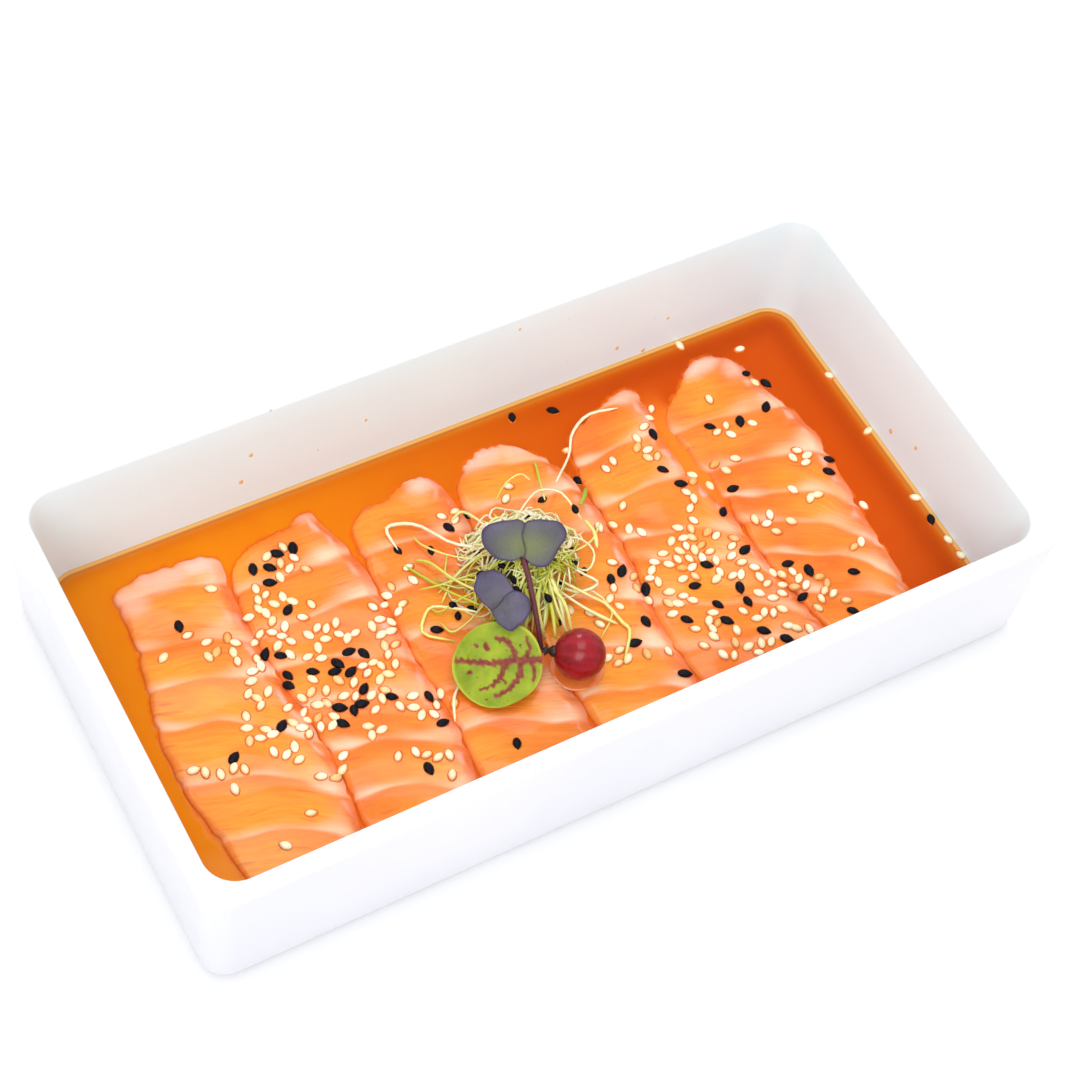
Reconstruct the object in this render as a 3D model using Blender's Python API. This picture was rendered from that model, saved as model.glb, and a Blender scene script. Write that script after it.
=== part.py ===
# Salmon carpaccio in its serving tray: six slices of raw salmon side by side in a pool of
# amber sauce, scattered with sesame, with a heap of sprouts, two cress leaves, one round
# sorrel leaf and one red berry in the middle. Metres, +Z up, origin on the ground under the
# middle of the tray, X along the tray, +Y towards its back wall.

import math

import bmesh
import bpy
import numpy as np
from mathutils import Matrix, Vector
from mathutils.bvhtree import BVHTree

MM = 0.001
GAP = 0.3 * MM

# Tray: a tapered box with rounded corners
TRAY_HEIGHT = 35.0 * MM
RIM_OUTER = (187.7 * MM, 98.0 * MM)
BASE_OUTER = (185.0 * MM, 95.3 * MM)
RIM_INNER = (180.0 * MM, 90.3 * MM)
INNER_LEAN = 2.3 * MM
FLOOR_THICKNESS = 3.0 * MM
OUTER_CORNER = 5.4 * MM
INNER_CORNER = 6.5 * MM
FLOOR_FILLET = 2.2 * MM
BASE_ROUND = 2.4 * MM
RIM_ROUND = 0.9 * MM
CORNER_STEPS = 6

# Sauce: one pool from wall to wall, cut round the slices
SAUCE_LEVEL = 7.1 * MM
SAUCE_MARGIN = 0.35 * MM
MENISCUS_WIDTH = 1.4 * MM
MENISCUS_RISE = 0.5 * MM

# Salmon slices: each edge is given at these places along the tray's short side
FISH_BASE = FLOOR_THICKNESS + GAP
FISH_TOP = 8.4 * MM
LEFT_EDGE_TOP = 7.2 * MM
LEFT_SLOPE = 0.11
RIGHT_EDGE_TOP = 6.3 * MM
RIGHT_SLOPE = 0.17
END_DROP = 1.2 * MM
FRONT_SLOPE = 0.10
BACK_SLOPE = 0.07
CORNER_ROUNDING = 0.22
WAVE_HEIGHT = 0.35 * MM
WAVE_LENGTH = 19.0 * MM
WAVE_SLANT = 0.35
WAVE_SHIFT = 1.7
ACROSS = (0.0, 0.12, 0.30, 0.50, 0.70, 0.87, 1.0)
ALONG = (0.0, 0.045, 0.14, 0.27, 0.40, 0.53, 0.66, 0.78, 0.88, 0.96, 1.0)
EDGE_STATIONS = (-38.0, -26.0, -13.0, 0.0, 13.0, 25.0, 34.0)
END_STATIONS = (0.0, 0.25, 0.5, 0.75, 1.0)
# Left edge, right edge, front end and back end of each slice, in millimetres
SLICES = {
    "slice_1": ((-78.5, -79.5, -81.3, -81.0, -78.5, -76.5, -77.0),
                (-55.6, -53.8, -53.5, -54.6, -55.4, -55.2, -54.6),
                (-37.0, -38.4, -38.8, -38.0, -36.8), (35.0, 36.2, 36.4, 36.0, 34.8)),
    "slice_2": ((-54.4, -53.0, -52.8, -54.0, -54.8, -53.6, -50.8),
                (-30.4, -28.6, -28.3, -28.6, -28.2, -29.2, -31.8),
                (-37.4, -38.6, -38.8, -38.2, -37.0), (30.4, 33.2, 34.2, 35.2, 37.4)),
    "slice_3": ((-29.7, -27.9, -27.6, -27.9, -27.3, -26.8, -26.2),
                (-3.6, -3.5, -3.9, -4.1, -3.9, -4.0, -4.6),
                (-36.8, -38.4, -39.0, -38.4, -37.4), (29.8, 32.6, 32.8, 34.4, 33.8)),
    "slice_4": ((-2.9, -2.8, -3.2, -3.4, -3.1, -2.5, -1.5),
                (20.8, 20.3, 20.8, 22.6, 22.4, 20.2, 16.5),
                (-37.6, -38.8, -39.2, -38.4, -37.2), (29.4, 33.6, 35.4, 34.6, 30.2)),
    "slice_5": ((21.6, 21.0, 21.6, 23.4, 23.1, 24.4, 27.0),
                (51.6, 49.8, 48.2, 47.6, 44.9, 44.6, 45.6),
                (-37.2, -38.6, -39.0, -38.6, -37.6), (31.0, 32.8, 34.4, 36.2, 36.6)),
    "slice_6": ((52.3, 50.5, 48.9, 49.0, 48.2, 47.2, 51.0),
                (72.3, 72.9, 73.5, 74.8, 75.0, 71.5, 70.3),
                (-37.4, -38.4, -38.8, -38.0, -36.6), (27.6, 32.6, 36.8, 36.4, 33.6)),
}

# Sesame seeds: a plump drop, pointed at one end, laid flat
SEED_LENGTH = 3.3 * MM
SEED_WIDTH = 1.95 * MM
SEED_HEIGHT = 1.15 * MM
SEED_LIFT = 0.12 * MM
SEED_TAPER = 0.38
SEED_FACET_STRETCH = 1.15
SEED_TRIES = 12
SEED_SPACING = 2.75 * MM
SEED_EDGE_MARGIN = 1.9 * MM
SEED_GARNISH_MARGIN = 2.4 * MM
SEED_DRAW = 41
# Each strewing of seeds: centre x and y, spread along x and y in millimetres, how many
STREWINGS = (
    (-47.0, 20.0, 6.5, 6.0, 13), (-37.0, 22.0, 6.0, 6.0, 11), (-46.0, 5.0, 8.0, 6.0, 22),
    (-33.0, 1.0, 8.0, 6.0, 27), (-38.0, -10.0, 9.0, 6.0, 22), (-24.0, -8.0, 6.0, 8.0, 10),
    (-62.0, -14.0, 9.0, 12.0, 13), (-20.0, -27.0, 10.0, 5.0, 7), (30.0, -8.0, 5.0, 7.0, 12),
    (40.0, 2.0, 8.0, 8.0, 18), (48.0, -11.0, 12.0, 6.0, 24), (40.0, -24.0, 12.0, 6.0, 25),
    (62.0, -24.0, 8.0, 6.0, 11), (58.0, 14.0, 9.0, 10.0, 15), (36.0, 22.0, 7.0, 8.0, 11),
    (12.0, -24.0, 7.0, 6.0, 7),
)
# Seeds afloat on the sauce, x, y and turn in degrees
FLOATING_SEEDS = (
    (14.8, 39.3, 60), (23.4, 38.6, 5), (67.0, 38.0, 20), (84.5, 11.0, 100), (85.2, -3.0, 75),
    (84.6, -13.5, 95), (84.9, 27.0, 80),
)

# Sprout heap: an uneven dome with bent stems round it
HEAP_CENTRE = (0.3 * MM, 3.6 * MM)
HEAP_RADIUS = 12.4 * MM
HEAP_HEIGHT = 11.6 * MM
HEAP_SPOKES = 14
HEAP_RINGS = (0.28, 0.55, 0.80, 1.0)
HEAP_SPREAD = 0.16
HEAP_SPREAD_TURN = math.radians(225)
HEAP_LOBES = 0.05
HEAP_LUMP = 0.7 * MM
STEM_RADIUS = 0.55 * MM
STEM_CORNER = 1.45
STEM_COUNT = 34
STEM_DRAW = 7
# Range that each bent stem's figures are drawn from, in millimetres but for the swing in radians
STEM_START_REACH = (2.0, 9.0)
STEM_START_HEIGHT = (11.0, 18.0)
STEM_END_REACH = (11.0, 17.5)
STEM_END_HEIGHT = (9.5, 14.0)
STEM_RISE = (2.0, 7.0)
STEM_TURN = (-1.6, 1.6)
STEM_WANDER = 3.5
STRAY_START_HEIGHT = 14.0
STRAY_HEIGHT = 9.0
# Stray stems that lie out over the fish: x, y of the points of each route, in millimetres
STRAY_STEMS = (
    ((8.0, 14.0), (15.0, 20.0), (22.5, 24.0), (28.0, 29.5), (35.0, 29.0)),
    ((-9.0, 8.0), (-15.0, 14.0), (-20.0, 21.5), (-19.5, 16.5)),
    ((-10.0, 1.0), (-17.0, 4.0), (-23.0, 9.0)),
    ((-10.0, -3.0), (-19.0, -1.0), (-24.5, 1.0), (-23.5, -4.0), (-17.0, -7.0)),
    ((9.0, 0.0), (15.0, -2.0), (16.5, -8.0), (14.0, -16.0)),
    ((10.0, 8.0), (16.0, 9.0), (19.5, 4.5)),
)

# Berry, with the dried flower end at its side
BERRY_RADIUS = 5.25 * MM
BERRY_PLACE = (-0.3 * MM, -20.6 * MM)
CALYX_RADIUS = 0.9 * MM
CALYX_LENGTH = 1.0 * MM
CALYX_TURN = math.radians(151)

# Leaves: thin wavy plates, each with its place, its tilt and its outline
LEAF_THICKNESS = 0.6 * MM
LEAF_GAP = 0.36 * MM
SORREL_RADIUS = 9.2 * MM
SORREL_WAVE = 0.5 * MM
SORREL_POINTS = 22
SORREL_PLACE = (-15.9 * MM, -15.2 * MM)
SORREL_POSE = (math.radians(20), math.radians(230), 0.0)
CRESS_POINTS = 20
CRESS_FOLD = 0.9 * MM
CRESS_WAVE = 0.35 * MM
CRESS_WAIST = 0.78
CRESS_LARGE_PLACE = (-1.4 * MM, 2.6 * MM)
CRESS_LARGE_SIZE = (8.5 * MM, 5.1 * MM)
CRESS_LARGE_POSE = (math.radians(12), math.radians(232), math.radians(-27))
CRESS_LARGE_STEM = ((-2.6, 0.6, 2.0), (-4.6, -8.5, 22.0), (-5.0, -13.4, 15.0), (-5.4, -14.6, 10.5))
CRESS_SMALL_PLACE = (-10.2 * MM, -5.2 * MM)
CRESS_SMALL_SIZE = (6.4 * MM, 4.1 * MM)
CRESS_SMALL_POSE = (math.radians(18), math.radians(225), math.radians(-78))
CRESS_STEM_RADIUS = 0.7 * MM


def srgb(red, green, blue):
    """Colour from 0-255 screen values to the linear values a material takes."""
    values = np.array([red, green, blue]) / 255.0
    linear = np.where(values <= 0.04045, values / 12.92, ((values + 0.055) / 1.055) ** 2.4)
    return (*linear.tolist(), 1.0)


def make_material(name, colour, roughness):
    material = bpy.data.materials.new(name)
    material.use_nodes = True
    shader = material.node_tree.nodes["Principled BSDF"]
    shader.inputs["Base Color"].default_value = colour
    shader.inputs["Roughness"].default_value = roughness
    shader.inputs["Metallic"].default_value = 0.0
    return material


def make_object(name, points, faces, material, collection):
    """One mesh object from points and faces, with its faces pointing out."""
    mesh = bpy.data.meshes.new(name)
    mesh.from_pydata([tuple(map(float, point)) for point in points], [], faces)
    shape = bmesh.new()
    shape.from_mesh(mesh)
    bmesh.ops.recalc_face_normals(shape, faces=shape.faces)
    shape.to_mesh(mesh)
    shape.free()
    thing = bpy.data.objects.new(name, mesh)
    if material:
        mesh.materials.append(material)
    collection.objects.link(thing)
    return thing


def smooth_step(value):
    value = np.clip(value, 0.0, 1.0)
    return value * value * (3.0 - 2.0 * value)


def loft(rings):
    """Faces between rings of equally many points, with both ends closed."""
    count = len(rings[0])
    points = np.concatenate(rings)
    faces = []
    for level in range(len(rings) - 1):
        low = level * count
        for index in range(count):
            after = (index + 1) % count
            faces.append((low + index, low + after, low + count + after, low + count + index))
    faces.append(tuple(range(count)))
    faces.append(tuple(range(len(points) - count, len(points))))
    return points, faces


def rounded_ring(length, width, corner, height):
    """A rectangle with four round corners, as one level ring of points."""
    turn = np.linspace(0.0, math.pi / 2, CORNER_STEPS + 1)
    ring = []
    for quarter, (side_x, side_y) in enumerate(((1, 1), (-1, 1), (-1, -1), (1, -1))):
        angle = turn + quarter * math.pi / 2
        x = side_x * (length / 2 - corner) + corner * np.cos(angle)
        y = side_y * (width / 2 - corner) + corner * np.sin(angle)
        ring.append(np.stack([x, y, np.full_like(x, height)], axis=1))
    return np.concatenate(ring)


def inner_size(height):
    """Length and width between the tray's inner walls at a height."""
    lean = INNER_LEAN * (TRAY_HEIGHT - height) / (TRAY_HEIGHT - FLOOR_THICKNESS)
    return RIM_INNER[0] - 2 * lean, RIM_INNER[1] - 2 * lean


def outer_size(height):
    share = height / TRAY_HEIGHT
    return tuple(low + (high - low) * share for low, high in zip(BASE_OUTER, RIM_OUTER))


def make_tray(material, collection):
    """Outer wall, rounded rim, inner wall and floor as one loft from the base to the floor."""
    rings = []
    for turn in (0.0, 0.25, 0.5, 0.75, 1.0):
        bend = turn * math.pi / 2
        height = BASE_ROUND * (1 - math.cos(bend))
        inset = BASE_ROUND * (1 - math.sin(bend))
        length, width = outer_size(height)
        rings.append(rounded_ring(length - 2 * inset, width - 2 * inset,
                                  OUTER_CORNER - inset * 0.5, height))
    for turn in (0.0, 0.5, 1.0):
        bend = turn * math.pi / 2
        height = TRAY_HEIGHT - RIM_ROUND * (1 - math.sin(bend))
        inset = RIM_ROUND * (1 - math.cos(bend))
        length, width = outer_size(height)
        rings.append(rounded_ring(length - 2 * inset, width - 2 * inset, OUTER_CORNER, height))
    for turn in (0.0, 0.5, 1.0):
        bend = turn * math.pi / 2
        height = TRAY_HEIGHT - RIM_ROUND * (1 - math.cos(bend))
        outset = RIM_ROUND * (1 - math.sin(bend))
        length, width = inner_size(height)
        rings.append(rounded_ring(length + 2 * outset, width + 2 * outset, INNER_CORNER, height))
    for turn in (0.0, 0.33, 0.67, 1.0):
        bend = turn * math.pi / 2
        height = FLOOR_THICKNESS + FLOOR_FILLET * (1 - math.sin(bend))
        inset = FLOOR_FILLET * (1 - math.cos(bend))
        length, width = inner_size(height)
        rings.append(rounded_ring(length - 2 * inset, width - 2 * inset, INNER_CORNER, height))
    return make_object("tray", *loft(rings), material, collection)


def slice_outline(name, margin=0.0):
    """Grid of plan positions over one slice: straight-sided, then drawn in at its corners."""
    left, right, front, back = SLICES[name]
    across = np.array(ACROSS)[:, None]
    along = np.array(ALONG)[None, :]
    end_front = np.interp(across, END_STATIONS, front) * MM - margin
    end_back = np.interp(across, END_STATIONS, back) * MM + margin
    y = end_front + (end_back - end_front) * along
    x_left = np.interp(y / MM, EDGE_STATIONS, left) * MM - margin
    x_right = np.interp(y / MM, EDGE_STATIONS, right) * MM + margin
    side = 2 * across - 1
    end = 2 * along - 1
    middle_x = (x_left + x_right) / 2
    middle_y = (end_front + end_back) / 2
    x = middle_x + side * (x_right - x_left) / 2 * np.sqrt(1 - CORNER_ROUNDING * end ** 8)
    y = middle_y + end * (end_back - end_front) / 2 * np.sqrt(1 - CORNER_ROUNDING * 0.4 * side ** 8)
    return x, y


def slice_top(x, y, phase):
    """Height of a slice's upper face: full in the middle, low at its right edge, slightly wavy."""
    across = np.array(ACROSS)[:, None]
    along = np.array(ALONG)[None, :]
    height = np.full_like(x, FISH_TOP)
    height -= (FISH_TOP - LEFT_EDGE_TOP) * (1 - smooth_step(across / LEFT_SLOPE))
    height -= (FISH_TOP - RIGHT_EDGE_TOP) * (1 - smooth_step((1 - across) / RIGHT_SLOPE))
    nearest_end = np.minimum(along / FRONT_SLOPE, (1 - along) / BACK_SLOPE)
    height -= END_DROP * (1 - smooth_step(nearest_end))
    wave = np.sin(2 * math.pi * (y + WAVE_SLANT * x) / WAVE_LENGTH + phase)
    return height + WAVE_HEIGHT * wave * smooth_step((1 - across) / RIGHT_SLOPE)


def grid_body(x, y, top, bottom):
    """A closed body between two height fields on one grid."""
    rows, columns = x.shape
    points = np.concatenate([np.stack([x, y, top], axis=2).reshape(-1, 3),
                             np.stack([x, y, bottom], axis=2).reshape(-1, 3)])
    below = rows * columns
    number = np.arange(below).reshape(rows, columns)
    faces = []
    for row in range(rows - 1):
        for column in range(columns - 1):
            a, b = number[row, column], number[row + 1, column]
            c, d = number[row + 1, column + 1], number[row, column + 1]
            faces += [(a, b, c), (a, c, d)]
            faces += [(below + c, below + b, below + a), (below + d, below + c, below + a)]
    border = [*number[:, 0], *number[-1, 1:], *number[-2::-1, -1], *number[0, -2:0:-1]]
    for index, here in enumerate(border):
        after = border[(index + 1) % len(border)]
        faces.append((here, after, below + after, below + here))
    return points, [tuple(int(corner) for corner in face) for face in faces]


def make_slice(name, phase, material, collection):
    x, y = slice_outline(name)
    bottom = np.full_like(x, FISH_BASE)
    return make_object(name, *grid_body(x, y, slice_top(x, y, phase), bottom), material,
                       collection)


def make_cutter(name, collection):
    """An upright prism over a slice's outline, a little larger all round."""
    x, y = slice_outline(name, SAUCE_MARGIN)
    high = np.full_like(x, 2 * SAUCE_LEVEL)
    low = np.full_like(x, FLOOR_THICKNESS / 2)
    cutter = make_object(name + "_cutter", *grid_body(x, y, high, low), None, collection)
    cutter.hide_render = True
    cutter.display_type = "WIRE"
    return cutter


def apply_modifiers(thing):
    """Turn the object into the mesh that its modifiers make."""
    graph = bpy.context.evaluated_depsgraph_get()
    mesh = bpy.data.meshes.new_from_object(thing.evaluated_get(graph))
    thing.modifiers.clear()
    thing.data = mesh


def keep_largest_body(thing):
    """Drop the loose scraps that a cut or a union may leave."""
    shape = bmesh.new()
    shape.from_mesh(thing.data)
    unseen = set(shape.verts)
    bodies = []
    while unseen:
        body = set()
        edge_of_search = [unseen.pop()]
        while edge_of_search:
            corner = edge_of_search.pop()
            body.add(corner)
            for edge in corner.link_edges:
                other = edge.other_vert(corner)
                if other in unseen:
                    unseen.discard(other)
                    edge_of_search.append(other)
        bodies.append(body)
    bodies.sort(key=len, reverse=True)
    loose = [corner for body in bodies[1:] for corner in body]
    bmesh.ops.delete(shape, geom=loose, context="VERTS")
    bmesh.ops.dissolve_degenerate(shape, dist=1e-7, edges=shape.edges)
    bmesh.ops.triangulate(shape, faces=shape.faces)
    shape.to_mesh(thing.data)
    shape.free()


def join_pieces(thing, pieces):
    """One union of a collection of pieces onto a thing, then the pieces are removed."""
    collection = bpy.data.collections.new(thing.name + "_pieces")
    for piece in pieces:
        for holder in piece.users_collection:
            holder.objects.unlink(piece)
        collection.objects.link(piece)
    union = thing.modifiers.new("union", "BOOLEAN")
    union.operation = "UNION"
    union.operand_type = "COLLECTION"
    union.collection = collection
    apply_modifiers(thing)
    for piece in pieces:
        bpy.data.objects.remove(piece)
    bpy.data.collections.remove(collection)
    keep_largest_body(thing)


def make_sauce(material, cutters, collection):
    """A pool with a low rise against the walls, cut round the slices."""
    rings = []
    base = FLOOR_THICKNESS + GAP
    for height, inset in ((base, FLOOR_FILLET + GAP), (base + 0.5 * FLOOR_FILLET, 0.6 * MM),
                          (SAUCE_LEVEL + MENISCUS_RISE, GAP),
                          (SAUCE_LEVEL, GAP + MENISCUS_WIDTH)):
        length, width = inner_size(height)
        rings.append(rounded_ring(length - 2 * inset, width - 2 * inset, INNER_CORNER, height))
    pool = make_object("sauce", *loft(rings), material, collection)
    for cutter in cutters:
        cut = pool.modifiers.new(cutter.name, "BOOLEAN")
        cut.operation = "DIFFERENCE"
        cut.object = cutter
    apply_modifiers(pool)
    keep_largest_body(pool)
    return pool


def tree_of(things):
    """Search tree over the faces of several objects."""
    points = []
    faces = []
    for thing in things:
        start = len(points)
        points += [corner.co.copy() for corner in thing.data.vertices]
        faces += [[start + corner for corner in face.vertices] for face in thing.data.polygons]
    return BVHTree.FromPolygons(points, faces)


def height_on(tree, x, y, reach=0.0):
    """Highest point of what lies under a place, looking up to a small reach round it."""
    best = SAUCE_LEVEL
    for dx, dy in ((0, 0), (reach, 0), (-reach, 0), (0, reach), (0, -reach)):
        hit = tree.ray_cast(Vector((x + dx, y + dy, 0.1)), Vector((0, 0, -1)))[0]
        if hit is not None:
            best = max(best, hit.z)
    return best


def make_seed(place, normal, turn, holder):
    """A low-sided drop lying on the surface under it."""
    shape = bmesh.new()
    bmesh.ops.create_uvsphere(shape, u_segments=5, v_segments=3, radius=1.0)
    up = Vector(normal).normalized()
    ahead = Vector((math.cos(turn), math.sin(turn), 0.0))
    ahead = (ahead - up * ahead.dot(up)).normalized()
    aside = up.cross(ahead)
    for corner in shape.verts:
        x, y, z = corner.co
        narrow = 1.0 - SEED_TAPER * max(x, 0.0) ** 2
        offset = ahead * (x * SEED_LENGTH / 2 * SEED_FACET_STRETCH)
        offset += aside * (y * SEED_WIDTH / 2 * SEED_FACET_STRETCH * narrow)
        offset += up * (z * SEED_HEIGHT / 2)
        corner.co = Vector(place) + up * SEED_LIFT + offset
    mesh = bpy.data.meshes.new("seed")
    shape.to_mesh(mesh)
    shape.free()
    seed = bpy.data.objects.new("seed", mesh)
    holder.objects.link(seed)
    return seed


def inside_slice(name, x, y, margin):
    """True if a place is well inside a slice's outline."""
    left, right, front, back = SLICES[name]
    x_left = np.interp(y / MM, EDGE_STATIONS, left) * MM
    x_right = np.interp(y / MM, EDGE_STATIONS, right) * MM
    share = (x - x_left) / (x_right - x_left)
    low = np.interp(share, END_STATIONS, front) * MM
    high = np.interp(share, END_STATIONS, back) * MM
    return x_left + margin < x < x_right - margin and low + margin < y < high - 1.5 * margin


def strew_seeds(slices, garnish_tree, holder):
    """Draw the places of the seeds and lay each on the slice under it."""
    draw = np.random.default_rng(SEED_DRAW)
    taken = []
    seeds = {thing.name: [] for thing in slices}
    trees = {thing.name: tree_of([thing]) for thing in slices}
    for centre_x, centre_y, spread_x, spread_y, count in STREWINGS:
        for _ in range(count):
            for _ in range(SEED_TRIES):
                x = (centre_x + spread_x * draw.normal()) * MM
                y = (centre_y + spread_y * draw.normal()) * MM
                turn = draw.uniform(0, 2 * math.pi)
                crowded = any(math.hypot(x - a, y - b) < SEED_SPACING for a, b in taken)
                names = [name for name in seeds if inside_slice(name, x, y, SEED_EDGE_MARGIN)]
                if crowded or not names:
                    continue
                hit, normal = trees[names[0]].ray_cast(Vector((x, y, 0.1)),
                                                       Vector((0, 0, -1)))[:2]
                near = garnish_tree.find_nearest(hit)[3]
                covered = garnish_tree.ray_cast(hit, Vector((0, 0, 1)))[0]
                if near < SEED_GARNISH_MARGIN or covered is not None:
                    continue
                taken.append((x, y))
                seeds[names[0]].append(make_seed(hit, normal, turn, holder))
                break
    return seeds


def make_heap_core(food_tree, material, collection):
    """An uneven dome: rings of points over the fish, and the same rings just above it."""
    centre_x, centre_y = HEAP_CENTRE
    turn = np.arange(HEAP_SPOKES) * 2 * math.pi / HEAP_SPOKES
    spread = HEAP_SPREAD * np.cos(turn - HEAP_SPREAD_TURN) + HEAP_LOBES * np.sin(3 * turn)
    radius = HEAP_RADIUS * (1 + spread)
    ground = height_on(food_tree, centre_x, centre_y, 3 * MM)
    levels = {"top": [], "bottom": []}
    for ring in HEAP_RINGS:
        x = centre_x + ring * radius * np.cos(turn)
        y = centre_y + ring * radius * np.sin(turn)
        lump = HEAP_LUMP * np.sin(4 * turn + 9 * ring) * (1 - ring)
        low = np.array([height_on(food_tree, a, b, 2.2 * MM) for a, b in zip(x, y)])
        low = np.maximum(low, ground - 0.4 * MM) + 1.6 * GAP
        high = ground + 1.0 * MM + HEAP_HEIGHT * (1 - ring ** 2.6) ** 0.7 + lump
        levels["top"].append(np.stack([x, y, np.maximum(high, low + 0.8 * MM)], axis=1))
        levels["bottom"].append(np.stack([x, y, low], axis=1))
    rings = levels["top"] + levels["bottom"][::-1]
    return make_object("sprouts", *loft(rings), material, collection)


def bezier(controls, count):
    """Points along the curve that a list of control points draws, by the Bernstein formula."""
    controls = np.asarray(controls, dtype=float)
    degree = len(controls) - 1
    share = np.linspace(0.0, 1.0, count)[:, None]
    route = np.zeros((count, 3))
    for index, control in enumerate(controls):
        weight = math.comb(degree, index) * share ** index * (1 - share) ** (degree - index)
        route += weight * control
    return route


def make_tube(name, route, radius, holder, resolution=0):
    """A closed tube along a route of points, as a mesh: four sides, or more if finer."""
    curve = bpy.data.curves.new(name, "CURVE")
    curve.dimensions = "3D"
    curve.bevel_depth = radius
    curve.bevel_resolution = resolution
    curve.use_fill_caps = True
    spline = curve.splines.new("POLY")
    spline.points.add(len(route) - 1)
    for point, place in zip(spline.points, route):
        point.co = (*map(float, place), 1.0)
    guide = bpy.data.objects.new(name, curve)
    holder.objects.link(guide)
    graph = bpy.context.evaluated_depsgraph_get()
    mesh = bpy.data.meshes.new_from_object(guide.evaluated_get(graph))
    shape = bmesh.new()
    shape.from_mesh(mesh)
    bmesh.ops.remove_doubles(shape, verts=shape.verts, dist=1e-6)
    bmesh.ops.recalc_face_normals(shape, faces=shape.faces)
    shape.to_mesh(mesh)
    shape.free()
    tube = bpy.data.objects.new(name, mesh)
    tube.matrix_world = guide.matrix_world
    holder.objects.link(tube)
    bpy.data.objects.remove(guide)
    return tube


def clear_of(route, tree, distance):
    """True if a finely walked route keeps a distance to everything in a tree."""
    for start, end in zip(route[:-1], route[1:]):
        for share in (0.0, 0.25, 0.5, 0.75):
            if tree.find_nearest(Vector(start + (end - start) * share))[3] < distance:
                return False
    return True


def lifted(route, tree, clearance):
    """The route with each point raised to lie clear of what is under it."""
    route = np.array(route)
    for point in route:
        point[2] = max(point[2], height_on(tree, point[0], point[1], 1.5 * MM) + clearance)
    return route


def make_stems(food_tree, topping_tree, holder):
    """Bent stems over the heap, and the stray ones that lie out over the fish."""
    draw = np.random.default_rng(STEM_DRAW)
    centre = np.array([*HEAP_CENTRE, 0.0])
    clearance = STEM_RADIUS * STEM_CORNER + GAP
    routes = []
    while len(routes) < STEM_COUNT:
        start_turn = draw.uniform(0, 2 * math.pi)
        end_turn = start_turn + draw.uniform(*STEM_TURN)
        start_reach = draw.uniform(*STEM_START_REACH) * MM
        end_reach = draw.uniform(*STEM_END_REACH) * MM
        start = centre + start_reach * np.array([math.cos(start_turn), math.sin(start_turn), 0])
        end = centre + end_reach * np.array([math.cos(end_turn), math.sin(end_turn), 0])
        start[2] = draw.uniform(*STEM_START_HEIGHT) * MM
        end[2] = draw.uniform(*STEM_END_HEIGHT) * MM
        middle = (start + end) / 2
        middle[2] = max(start[2], end[2]) + draw.uniform(*STEM_RISE) * MM
        middle[:2] += draw.normal(0, STEM_WANDER, 2) * MM
        route = lifted(bezier([start, middle, end], 6), food_tree, clearance)
        if clear_of(route, topping_tree, clearance):
            routes.append(route)
    for places in STRAY_STEMS:
        controls = [(x * MM, y * MM, STRAY_HEIGHT * MM) for x, y in places]
        controls[0] = (*controls[0][:2], STRAY_START_HEIGHT * MM)
        route = lifted(bezier(controls, 8), food_tree, clearance)
        if clear_of(route, topping_tree, clearance):
            routes.append(route)
    return [make_tube("stem", route, STEM_RADIUS, holder) for route in routes]


def leaf_body(outline, rings, wave, thickness):
    """A thin wavy plate: the same rings of points above and below, meeting at the rim."""
    count = len(outline)
    upper = [np.zeros((1, 3))]
    for ring in rings:
        upper.append(np.column_stack([outline * ring, np.zeros(count)]))
    upper = np.concatenate(upper)
    upper[:, 2] = wave(upper[:, 0], upper[:, 1])
    lower = upper - np.array([0.0, 0.0, thickness])
    points = np.concatenate([upper, lower])
    below = len(upper)
    faces = []
    for index in range(count):
        after = (index + 1) % count
        faces += [(0, 1 + index, 1 + after), (below, below + 1 + after, below + 1 + index)]
        for level in range(len(rings) - 1):
            low = 1 + level * count
            a, b, c, d = low + index, low + count + index, low + count + after, low + after
            faces += [(a, b, c), (a, c, d)]
            faces += [(below + c, below + b, below + a), (below + d, below + c, below + a)]
        last = 1 + (len(rings) - 1) * count
        faces.append((last + index, below + last + index, below + last + after, last + after))
    return points, faces


def laid(points, place, pose, ground_tree):
    """Points turned, tipped towards a heading, moved, then let down until they rest."""
    tilt, heading, turn = pose
    spin = np.array([[math.cos(turn), -math.sin(turn), 0], [math.sin(turn), math.cos(turn), 0],
                     [0, 0, 1]])
    axis = np.array([-math.sin(heading), math.cos(heading), 0])
    cross = np.array([[0, -axis[2], axis[1]], [axis[2], 0, -axis[0]], [-axis[1], axis[0], 0]])
    tip = np.eye(3) + math.sin(tilt) * cross + (1 - math.cos(tilt)) * cross @ cross
    points = points @ spin.T @ tip.T + np.array([*place, 0.0])
    need = [height_on(ground_tree, x, y, 0.5 * MM) - z for x, y, z in points]
    return points + np.array([0.0, 0.0, max(need) + LEAF_GAP])


def make_sorrel(ground_tree, material, collection):
    """A nearly round leaf, slightly dished, its rim a little wavy."""
    turn = np.arange(SORREL_POINTS) * 2 * math.pi / SORREL_POINTS
    radius = SORREL_RADIUS * (1 + 0.025 * np.cos(2 * turn) + 0.012 * np.sin(5 * turn))
    outline = np.column_stack([radius * np.cos(turn), radius * np.sin(turn)])

    def wave(x, y):
        reach = np.hypot(x, y) / SORREL_RADIUS
        return SORREL_WAVE * reach ** 2 * (1 + np.sin(3 * np.arctan2(y, x)))

    points, faces = leaf_body(outline, (0.4, 0.75, 1.0), wave, LEAF_THICKNESS)
    points = laid(points, SORREL_PLACE, SORREL_POSE, ground_tree)
    return make_object("sorrel_leaf", points, faces, material, collection)


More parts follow.
